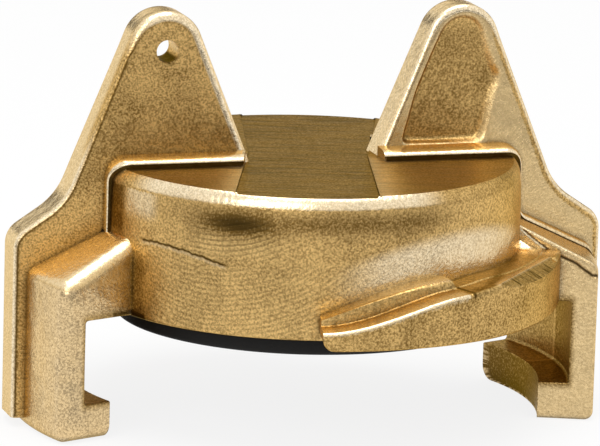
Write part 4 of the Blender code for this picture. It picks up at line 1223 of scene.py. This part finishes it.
def ledge_patches(side, onto_shoulder):
    """The forged fillet at the foot of an ear's face, carried along its path.

    Across it the height falls a little from the ear's face, and then as a quarter ellipse to the milled edge.
    Where asked, the fillet goes on from the disc's foot along the shoulder.
    """
    path = over_rim(onto_shoulder)
    if onto_shoulder:
        _, z, _, width, rise = path
        on = along_shoulder(z[-1], width[-1], rise[-1])
        path = [np.concatenate(both) for both in zip(path, on)]
    x, z, turn, width, rise = (value[:, None] for value in path)
    quarter = np.linspace(0, math.pi / 2, 24)[None, :]
    flat = np.linspace(-0.2, 1, 7)[None, :-1]
    across = np.concatenate([LEDGE_FLAT * flat, LEDGE_FLAT + (1 - LEDGE_FLAT) * np.sin(quarter)], axis=1)
    drop = np.concatenate([0.12 * np.maximum(flat, 0), 0.12 + 0.88 * (1 - np.cos(quarter))], axis=1)
    y = np.concatenate([EAR_HALF_THICKNESS + width * across, EAR_HALF_THICKNESS + width], axis=1)
    up = np.concatenate([rise * (1 - drop), -0.6 * MM + 0 * width], axis=1)
    if side > 0:
        # The mill's last pass cuts the back fillet off aslant
        centre_x, _ = ledge_corner()
        cut_x = np.maximum(pass_edge(y[:1]), LEDGE_START)
        slide = np.clip((centre_x - x) / (centre_x - LEDGE_START), 0, 1)
        x = x + (cut_x - LEDGE_START) * slide
    points = np.stack([x + np.cos(turn) * up, side * y + 0 * x, z + np.sin(turn) * up], axis=-1)
    # Painted: the fillet bright as a highlight, and its outer edge dark as the shadow line under it
    ledge_shadow_line = 1.8 * smooth_step((np.append(drop, 1.2) - 0.9) / 0.1)[None, :]
    bright = 1.0 - 0.5 * smooth_step((x - BODY_RADIUS - 0.5 * MM) / (2 * MM))
    bright = bright * (1 - np.minimum(ledge_shadow_line, 1))
    top = Patch(points, wear_and_highlight=bright, cut=0.1 + 0 * bright, stain_and_shade=ledge_shadow_line + 0 * bright, flip=side < 0)
    sunk = points[0] * (1, 1, 0) + (0, 0, TOP_Z - 0.3 * MM)
    end = Patch(np.stack([sunk, points[0]]), wear_and_highlight=0.5, cut=0.2, flip=side < 0)
    return [top, end]


def seal_patches():
    """The rubber ring: one closed section with a bead, turned round the axis."""
    low, high = SEAL_LOW.z, SEAL_HIGH.z
    bead_low = FACE_Z + 2.3 * MM
    soft = 0.5 * MM
    middle = (SEAL_BORE_RADIUS + SEAL_RADIUS) / 2
    section = rounded_path(
        [
            (middle, high, 0.0),
            (SEAL_BEAD_RADIUS, high, 0.2 * MM),
            (SEAL_BEAD_RADIUS, bead_low, 0.2 * MM),
            (SEAL_RADIUS, bead_low - 0.8 * MM, 0.2 * MM),
            (SEAL_RADIUS, low, soft),
            (SEAL_BORE_RADIUS, low, soft),
            (SEAL_BORE_RADIUS, high, 0.2 * MM),
            (middle, high, 0.0),
        ],
        (4, 4, 4, 6, 10, 10, 4), 8,
    )
    turn = np.linspace(0, math.tau, TURN_STEPS // 2, endpoint=False)[None, :]
    return [Patch(cylindrical(section[:, :1], turn, section[:, 1:]), close_columns=True)]


def add_node(tree, kind, inputs=None, **settings):
    """Adds a node with its settings; an input, by name or number, takes a value or a node's output."""
    node = tree.nodes.new(kind)
    for key, value in settings.items():
        setattr(node, key, value)
    for key, value in (inputs or {}).items():
        if isinstance(value, bpy.types.NodeSocket):
            tree.links.new(value, node.inputs[key])
        else:
            node.inputs[key].default_value = value
    return node


def new_material(name):
    material = bpy.data.materials.new(name)
    material.use_nodes = True
    tree = material.node_tree
    return material, tree, tree.nodes["Principled BSDF"]


def streaks(tree, place, turn, cell):
    """Noise drawn out into streaks: its cell has a length, width and height, and is turned about the axis."""
    drawn = add_node(
        tree, "ShaderNodeMapping", {"Vector": place, "Rotation": (0.0, 0.0, turn), "Scale": cell},
        vector_type="TEXTURE",
    )
    return add_node(
        tree, "ShaderNodeTexNoise",
        {"Vector": drawn.outputs["Vector"], "Scale": 1.0, "Detail": 2.0, "Roughness": 0.6, "Distortion": 0.3},
    ).outputs["Fac"]


def belt_arcs(tree, place):
    """Arcs round a point above the disc's side: the sine of the distance over the pitch, uneven."""
    distance = add_node(tree, "ShaderNodeVectorMath", {0: place, 1: BELT_CENTRE}, operation="DISTANCE")
    uneven = add_node(
        tree, "ShaderNodeTexNoise", {"Vector": place, "Scale": 1 / BELT_UNEVEN, "Detail": 2.0}).outputs["Fac"]
    phase = add_node(tree, "ShaderNodeMath", {
        0: distance.outputs["Value"], 1: math.tau / BELT_PITCH}, operation="MULTIPLY").outputs[0]
    shifted = add_node(
        tree, "ShaderNodeMath", {0: uneven, 1: BELT_WANDER, 2: phase}, operation="MULTIPLY_ADD")
    wave = add_node(tree, "ShaderNodeMath", {0: shifted.outputs[0]}, operation="SINE")
    return add_node(tree, "ShaderNodeMapRange", {0: wave.outputs[0], 1: -1.6, 2: 1.6}).outputs[0]


def turned_rings(tree, place):
    """Rings round the axis from the lathe's tool: the sine of the distance from the axis over the feed."""
    flat = add_node(tree, "ShaderNodeVectorMath", {0: place, 1: (1.0, 1.0, 0.0)}, operation="MULTIPLY")
    radius = add_node(tree, "ShaderNodeVectorMath", {0: flat.outputs["Vector"]}, operation="LENGTH")
    phase = add_node(
        tree, "ShaderNodeMath", {0: radius.outputs["Value"], 1: math.tau / LATHE_FEED}, operation="MULTIPLY")
    wave = add_node(tree, "ShaderNodeMath", {0: phase.outputs[0]}, operation="SINE")
    return add_node(tree, "ShaderNodeMapRange", {0: wave.outputs[0], 1: -1.6, 2: 1.6}).outputs[0]


def top_streaks(tree, place):
    return streaks(tree, place, PASS_TURN, MILL_CELL)


def flat_comb(tree, place):
    return streaks(tree, place, FLAT_ANGLE, COMB_CELL)


def brass_colour(tree, place, noises, marks, tool_lines):
    """The skin's colour under its layers: cut metal, oxide and painted shade, tool lines, grime and painted
    crease shade, and last the rubbed brass, which also paints highlights.

    The height for the bump comes with it, because tool lines lower it.
    """
    look = finish()
    grain, clouds = noises
    wear_and_highlight, cut, stain_and_shade = marks
    speckle = add_node(tree, "ShaderNodeMapRange", {0: grain, 1: 0.40, 2: 0.62, 3: 0.0, 4: 0.68}).outputs[0]
    patchy = add_node(tree, "ShaderNodeMapRange", {0: clouds, 1: 0.42, 2: 0.70, 3: 0.0, 4: 0.30}).outputs[0]
    oxide = add_node(
        tree, "ShaderNodeMath", {0: speckle, 1: patchy}, operation="ADD", use_clamp=True).outputs[0]
    colour = add_node(tree, "ShaderNodeMix", {
        0: oxide, 6: (*look.skin, 1.0), 7: (*look.stain_and_shade, 1.0)}, data_type="RGBA").outputs[2]
    fresh = add_node(tree, "ShaderNodeMath", {0: cut, 1: 0.6}, operation="MULTIPLY").outputs[0]
    colour = add_node(tree, "ShaderNodeMix", {
        0: fresh, 6: colour, 7: (*look.cut, 1.0)}, data_type="RGBA").outputs[2]
    # Oxide stays below the speckle, so a stained face is speckled too
    held = add_node(tree, "ShaderNodeMapRange", {0: grain, 1: 0.36, 2: 0.60, 3: 0.48, 4: 1.0}).outputs[0]
    # The stain mark is oxide, and also painted shade, shadow lines and dark reflections
    stained = add_node(
        tree, "ShaderNodeMath", {0: stain_and_shade, 1: held}, operation="MULTIPLY", use_clamp=True).outputs[0]
    colour = add_node(tree, "ShaderNodeMix", {
        0: stained, 6: colour, 7: (*look.stain_and_shade, 1.0)}, data_type="RGBA").outputs[2]
    height = grain
    if tool_lines:
        lines = tool_lines(tree, place)
        deep = add_node(tree, "ShaderNodeMapRange", {0: lines, 1: 0.45, 2: 0.66, 3: 0.0, 4: 0.80}).outputs[0]
        scored = add_node(tree, "ShaderNodeMath", {0: deep, 1: cut}, operation="MULTIPLY").outputs[0]
        colour = add_node(tree, "ShaderNodeMix", {
            0: scored, 6: colour, 7: (*look.grime_and_shade, 1.0)}, data_type="RGBA").outputs[2]
        height = add_node(
            tree, "ShaderNodeMath", {0: scored, 1: -1.0, 2: grain}, operation="MULTIPLY_ADD").outputs[0]
    # Painted shade: an ambient-occlusion node darkens creases towards the grime colour, as does a stain above
    # 1
    open_share = add_node(
        tree, "ShaderNodeAmbientOcclusion", {"Distance": look.crease_shade}, samples=8).outputs["AO"]
    painted_crease_shade = add_node(
        tree, "ShaderNodeMapRange", {0: open_share, 1: 0.35, 2: 0.85, 3: 0.85, 4: 0.0}).outputs[0]
    filled = add_node(tree, "ShaderNodeMapRange", {0: stain_and_shade, 1: 1.0, 2: 2.0}).outputs[0]
    grime_and_shade = add_node(tree, "ShaderNodeMath", {0: painted_crease_shade, 1: filled}, operation="MAXIMUM").outputs[0]
    colour = add_node(tree, "ShaderNodeMix", {
        0: grime_and_shade, 6: colour, 7: (*look.grime_and_shade, 1.0)}, data_type="RGBA").outputs[2]
    # The rubbed mark is wear, and also painted highlights
    worn = add_node(tree, "ShaderNodeMapRange", {0: grain, 1: 0.34, 2: 0.60, 3: 1.0, 4: 0.55}).outputs[0]
    rubbed = add_node(tree, "ShaderNodeMath", {0: wear_and_highlight, 1: worn}, operation="MULTIPLY").outputs[0]
    colour = add_node(tree, "ShaderNodeMix", {
        0: rubbed, 6: colour, 7: (*look.wear_and_highlight, 1.0)}, data_type="RGBA").outputs[2]
    return colour, height


def brass(name, tool_lines=None):
    """Hot-forged CW617N brass, tumbled, then milled, turned or belt-ground where it seals and seats.

    The blasted die leaves a fine grain with oxide in its pores, so the skin is speckled gold-brown. Creases
    are painted dark as shade, by an ambient-occlusion node. Tumbling rubs edges pale and smooth, and the
    rubbed mark also paints highlights. Cut faces are paler, with dark lines where the tool ran. A stain above
    1 turns from oxide to grime, and the stain mark also paints shade, shadow lines and dark reflections. The
    grain is drawn twice as wide as the real one, to show.
    """
    found = bpy.data.materials.get(name)
    if found:
        return found
    look = finish()
    material, tree, shader = new_material(name)
    place = add_node(tree, "ShaderNodeTexCoord").outputs["Object"]
    wear_and_highlight = add_node(tree, "ShaderNodeAttribute", attribute_name="wear_and_highlight").outputs["Fac"]
    cut = add_node(tree, "ShaderNodeAttribute", attribute_name="cut").outputs["Fac"]
    stain_and_shade = add_node(tree, "ShaderNodeAttribute", attribute_name="stain_and_shade").outputs["Fac"]

    # A noise cell is about as wide as one over its scale
    grain = add_node(tree, "ShaderNodeTexNoise", {
        "Vector": place, "Scale": 1 / look.grain, "Detail": 2.0, "Roughness": 0.7}).outputs["Fac"]
    clouds = add_node(tree, "ShaderNodeTexNoise", {
        "Vector": place, "Scale": 1 / look.mottle, "Detail": 5.0, "Roughness": 0.62}).outputs["Fac"]
    colour, height = brass_colour(tree, place, (grain, clouds), (wear_and_highlight, cut, stain_and_shade), tool_lines)
    tree.links.new(colour, shader.inputs["Base Color"])
    shader.inputs["Metallic"].default_value = 1.0
    shader.inputs["Specular Tint"].default_value = (*linear("#F0DAB0"), 1.0)

    rough = add_node(tree, "ShaderNodeMapRange", {0: grain, 1: 0.3, 2: 0.7, 3: 0.27, 4: 0.42}).outputs[0]
    rough = add_node(
        tree, "ShaderNodeMath", {0: wear_and_highlight, 1: -0.13, 2: rough}, operation="MULTIPLY_ADD").outputs[0]
    tree.links.new(rough, shader.inputs["Roughness"])
    depth = add_node(tree, "ShaderNodeMapRange", {0: wear_and_highlight, 1: 0.0, 2: 1.0, 3: 0.60, 4: 0.20}).outputs[0]
    fine = add_node(tree, "ShaderNodeBump", {"Height": height, "Strength": depth, "Distance": 0.06 * MM})
    dents = add_node(tree, "ShaderNodeBump", {
        "Height": clouds, "Normal": fine.outputs["Normal"], "Strength": 0.4, "Distance": 0.40 * MM})
    tree.links.new(dents.outputs["Normal"], shader.inputs["Normal"])
    return material


def nitrile_rubber():
    """Moulded nitrile rubber: near black, with the soft dull sheen that a blasted mould leaves."""
    look = finish()
    material, tree, shader = new_material("moulded_nitrile_rubber")
    place = add_node(tree, "ShaderNodeTexCoord").outputs["Object"]
    dust = add_node(tree, "ShaderNodeTexNoise", {
        "Vector": place, "Scale": 1 / (0.4 * MM), "Detail": 3.0}).outputs["Fac"]
    dusty = add_node(tree, "ShaderNodeMapRange", {0: dust, 1: 0.45, 2: 0.75, 3: 0.0, 4: 0.3}).outputs[0]
    colour = add_node(tree, "ShaderNodeMix", {
        0: dusty, 6: (*look.rubber, 1.0), 7: (*linear("#2E2B28"), 1.0)}, data_type="RGBA").outputs[2]
    tree.links.new(colour, shader.inputs["Base Color"])
    rough = add_node(tree, "ShaderNodeMapRange", {0: dust, 1: 0.3, 2: 0.7, 3: 0.60, 4: 0.75}).outputs[0]
    tree.links.new(rough, shader.inputs["Roughness"])
    shader.inputs["IOR"].default_value = 1.52
    shader.inputs["Specular IOR Level"].default_value = 0.25
    bump = add_node(tree, "ShaderNodeBump", {"Height": dust, "Strength": 0.3, "Distance": 0.02 * MM})
    tree.links.new(bump.outputs["Normal"], shader.inputs["Normal"])
    return material


class BuildDisc(bpy.types.Operator):
    """Builds the turned and milled disc with its underside."""

    bl_idname = "blank_cap.disc"
    bl_label = "Disc"

    def execute(self, context):
        brass_piece("disc_side", disc_patches(), brass("belt_ground_brass", belt_arcs))
        brass_piece("disc_top", top_patches(), brass("face_milled_brass", top_streaks))
        brass_piece("disc_underside", underside_patches(), brass("turned_brass", turned_rings))
        return {"FINISHED"}


class BuildClaws(bpy.types.Operator):
    """Builds the two hooks."""

    bl_idname = "blank_cap.claws"
    bl_label = "Claws"

    def execute(self, context):
        metal = brass("forged_tumbled_brass")
        brass_piece("claw_right", claw_patches(), metal)
        brass_piece("claw_left", claw_patches(), metal, half_turned=True)
        return {"FINISHED"}


class BuildRamps(bpy.types.Operator):
    """Builds the two cam ramps."""

    bl_idname = "blank_cap.ramps"
    bl_label = "Cam ramps"

    def execute(self, context):
        metal = brass("side_milled_brass", flat_comb)
        brass_piece("ramp_front", ramp_patches(), metal)
        brass_piece("ramp_back", ramp_patches(), metal, half_turned=True)
        return {"FINISHED"}


class BuildEars(bpy.types.Operator):
    """Builds the two ears with their ribs, and the fillets at their feet."""

    bl_idname = "blank_cap.ears"
    bl_label = "Ears"

    def execute(self, context):
        metal = brass("forged_tumbled_brass")
        brass_piece("ear_right", ear_patches(False, POCKET_FACE, PLAIN_FACE), metal)
        brass_piece("ear_left", ear_patches(True, POCKET_FACE, PLAIN_FACE), metal, half_turned=True)
        pair = ledge_patches(-1, True) + ledge_patches(1, False)
        brass_piece("ledges_right", pair, metal)
        brass_piece("ledges_left", pair, metal, half_turned=True)
        return {"FINISHED"}


class BuildSeal(bpy.types.Operator):
    """Builds the rubber face seal."""

    bl_idname = "blank_cap.seal"
    bl_label = "Seal"

    def execute(self, context):
        seal = make_piece("seal_ring", seal_patches())
        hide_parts("face_seal")
        seal.data.materials.append(nitrile_rubber())
        return {"FINISHED"}


def soft_light(name, place, aim, size, power):
    """A square area light at a place, turned to shine at a point."""
    lamp = bpy.data.lights.new(name, "AREA")
    lamp.shape = "SQUARE"
    lamp.size = size
    lamp.energy = power
    obj = bpy.data.objects.new(name, lamp)
    obj.location = place
    obj.rotation_euler = (Vector(aim) - Vector(place)).to_track_quat("-Z", "Y").to_euler()
    bpy.context.scene.collection.objects.link(obj)
    return obj


def seen_directly(tree):
    """1 for what the camera sees, also in a mirror or through glass, and 0 for what only lights the part."""
    path = add_node(tree, "ShaderNodeLightPath")
    seen = add_node(tree, "ShaderNodeMath", {
        0: path.outputs["Is Camera Ray"], 1: path.outputs["Is Glossy Ray"]}, operation="MAXIMUM").outputs[0]
    return add_node(tree, "ShaderNodeMath", {
        0: seen, 1: path.outputs["Is Transmission Ray"]}, operation="MAXIMUM").outputs[0]


def pale_material(name, hex_colour, glow):
    """Matt white paper, with a share of its own light so that it reads white and still takes a shadow."""
    material, tree, shader = new_material(name)
    shader.inputs["Base Color"].default_value = (*linear(hex_colour), 1.0)
    shader.inputs["Roughness"].default_value = 1.0
    shader.inputs["Specular IOR Level"].default_value = 0.0
    seen = seen_directly(tree)
    share = add_node(tree, "ShaderNodeMath", {0: seen, 1: glow}, operation="MULTIPLY").outputs[0]
    white = add_node(tree, "ShaderNodeEmission", {"Color": (1.0, 1.0, 1.0, 1.0), "Strength": 1.0})
    blend = add_node(tree, "ShaderNodeMixShader", {
        0: share, 1: shader.outputs["BSDF"], 2: white.outputs["Emission"]})
    tree.links.new(blend.outputs["Shader"], tree.nodes["Material Output"].inputs["Surface"])
    return material


class BuildStage(bpy.types.Operator):
    """Builds the floor, the lights, the dark cards that brass is photographed with, and the camera."""

    bl_idname = "blank_cap.stage"
    bl_label = "Stage"

    def execute(self, context):
        scene = context.scene
        place_floor()
        place_cards()
        light_world(scene)
        look = stage()
        soft_light("top_softbox", (0.0, -0.05, 0.70), (0, 0, 0.02), 0.60, look.top_light)
        soft_light("front_softbox", (-0.45, -0.55, 0.42), (0, 0, 0.02), 0.50, look.front_light)
        place_camera(scene)
        scene.view_settings.view_transform = "Standard"
        return {"FINISHED"}


def place_floor():
    """A large square of white paper, a hair under the claw tips so that no faces coincide."""
    mesh = bpy.data.meshes.new("floor")
    half, level = 3.0, -0.05 * MM
    corners = [(-half, -half, level), (half, -half, level), (half, half, level), (-half, half, level)]
    mesh.from_pydata(corners, [], [(0, 1, 2, 3)])
    floor = bpy.data.objects.new("floor", mesh)
    mesh.materials.append(pale_material("white_paper", "#F2F2F2", 0.85))
    bpy.context.scene.collection.objects.link(floor)


def place_cards():
    """Two curved dark cards outside the picture, for the brass to mirror: one behind, one in front."""
    material, _, shader = new_material("dark_card")
    shader.inputs["Base Color"].default_value = (*linear("#2A2620"), 1.0)
    shader.inputs["Roughness"].default_value = 1.0
    shader.inputs["Specular IOR Level"].default_value = 0.0
    to_camera = stage().azimuth - math.pi / 2
    cards = (
        ("card_behind", to_camera + math.pi, math.radians(38.0), 0.42, 0.076, 0.150),
        ("card_in_front", to_camera, math.radians(80.0), 0.25, 0.0, 0.040),
    )
    for name, middle, reach, radius, low, high in cards:
        turn = middle + np.linspace(-reach, reach, 65)[None, :]
        points = cylindrical(radius, turn, np.array([[low], [high]]))
        mesh = bpy.data.meshes.new(name)
        mesh.from_pydata(points.reshape(-1, 3).tolist(), [], grid_faces(2, 65).tolist())
        mesh.materials.append(material)
        card = bpy.data.objects.new(name, mesh)
        card.visible_camera = False
        card.visible_shadow = False
        bpy.context.scene.collection.objects.link(card)


def light_world(scene):
    """White all round for whatever is seen or mirrored, and a plain level of soft light for the rest."""
    world = bpy.data.worlds.new("white_studio")
    world.use_nodes = True
    scene.world = world
    tree = world.node_tree
    seen = seen_directly(tree)
    level = add_node(tree, "ShaderNodeMapRange", {0: seen, 3: 0.6, 4: 1.0}).outputs[0]
    background = tree.nodes["Background"]
    background.inputs["Color"].default_value = (1.0, 1.0, 1.0, 1.0)
    tree.links.new(level, background.inputs["Strength"])


def place_camera(scene):
    """The camera where the photograph was taken from, found from the photo's edges."""
    look = stage()
    back = Vector((
        math.sin(look.azimuth) * math.cos(look.elevation),
        -math.cos(look.azimuth) * math.cos(look.elevation),
        math.sin(look.elevation),
    ))
    right = Vector((math.cos(look.azimuth), math.sin(look.azimuth), 0.0))
    up = right.cross(-back)
    rolled_right = right * math.cos(look.roll) + up * math.sin(look.roll)
    rolled_up = up * math.cos(look.roll) - right * math.sin(look.roll)
    aim = Vector(AIM)
    lens = bpy.data.cameras.new("photo_camera")
    lens.lens = look.lens
    lens.sensor_width = 36.0
    lens.shift_x, lens.shift_y = SHIFT
    lens.clip_start, lens.clip_end = 0.01, 20.0
    camera = bpy.data.objects.new("photo_camera", lens)
    camera.matrix_world = Matrix((
        (rolled_right.x, rolled_up.x, back.x, 0.0),
        (rolled_right.y, rolled_up.y, back.y, 0.0),
        (rolled_right.z, rolled_up.z, back.z, 0.0),
        (0.0, 0.0, 0.0, 1.0),
    ))
    camera.location = aim + back * look.distance
    scene.collection.objects.link(camera)
    scene.camera = camera


OPERATORS = (BuildDisc, BuildClaws, BuildRamps, BuildEars, BuildSeal, BuildStage)


class BlankCapPanel(bpy.types.Panel):
    """Lists the sizes, the colours and the steps that build the cap."""

    bl_idname = "VIEW3D_PT_blank_cap"
    bl_label = "Blank Cap"
    bl_space_type = "VIEW_3D"
    bl_region_type = "UI"
    bl_category = "Blank Cap"

    def draw(self, context):
        for group in (context.scene.cap_edges, context.scene.cap_finish, context.scene.cap_stage):
            box = self.layout.box()
            for key in group.bl_rna.properties.keys():
                if key not in ("rna_type", "name"):
                    box.prop(group, key)
        for operator in OPERATORS:
            self.layout.operator(operator.bl_idname)


CLASSES = (CapEdges, CapFinish, CapStage, *OPERATORS, BlankCapPanel)


def register():
    for cls in CLASSES:
        bpy.utils.register_class(cls)
    bpy.types.Scene.cap_edges = bpy.props.PointerProperty(type=CapEdges)
    bpy.types.Scene.cap_finish = bpy.props.PointerProperty(type=CapFinish)
    bpy.types.Scene.cap_stage = bpy.props.PointerProperty(type=CapStage)


def unregister():
    del bpy.types.Scene.cap_edges
    del bpy.types.Scene.cap_finish
    del bpy.types.Scene.cap_stage
    for cls in reversed(CLASSES):
        bpy.utils.unregister_class(cls)


def main():
    """Builds the cap piece by piece, then the stage."""
    register()
    bpy.ops.blank_cap.disc()
    bpy.ops.blank_cap.claws()
    bpy.ops.blank_cap.ramps()
    bpy.ops.blank_cap.ears()
    bpy.ops.blank_cap.seal()
    bpy.ops.blank_cap.stage()


if __name__ == "__main__":
    main()
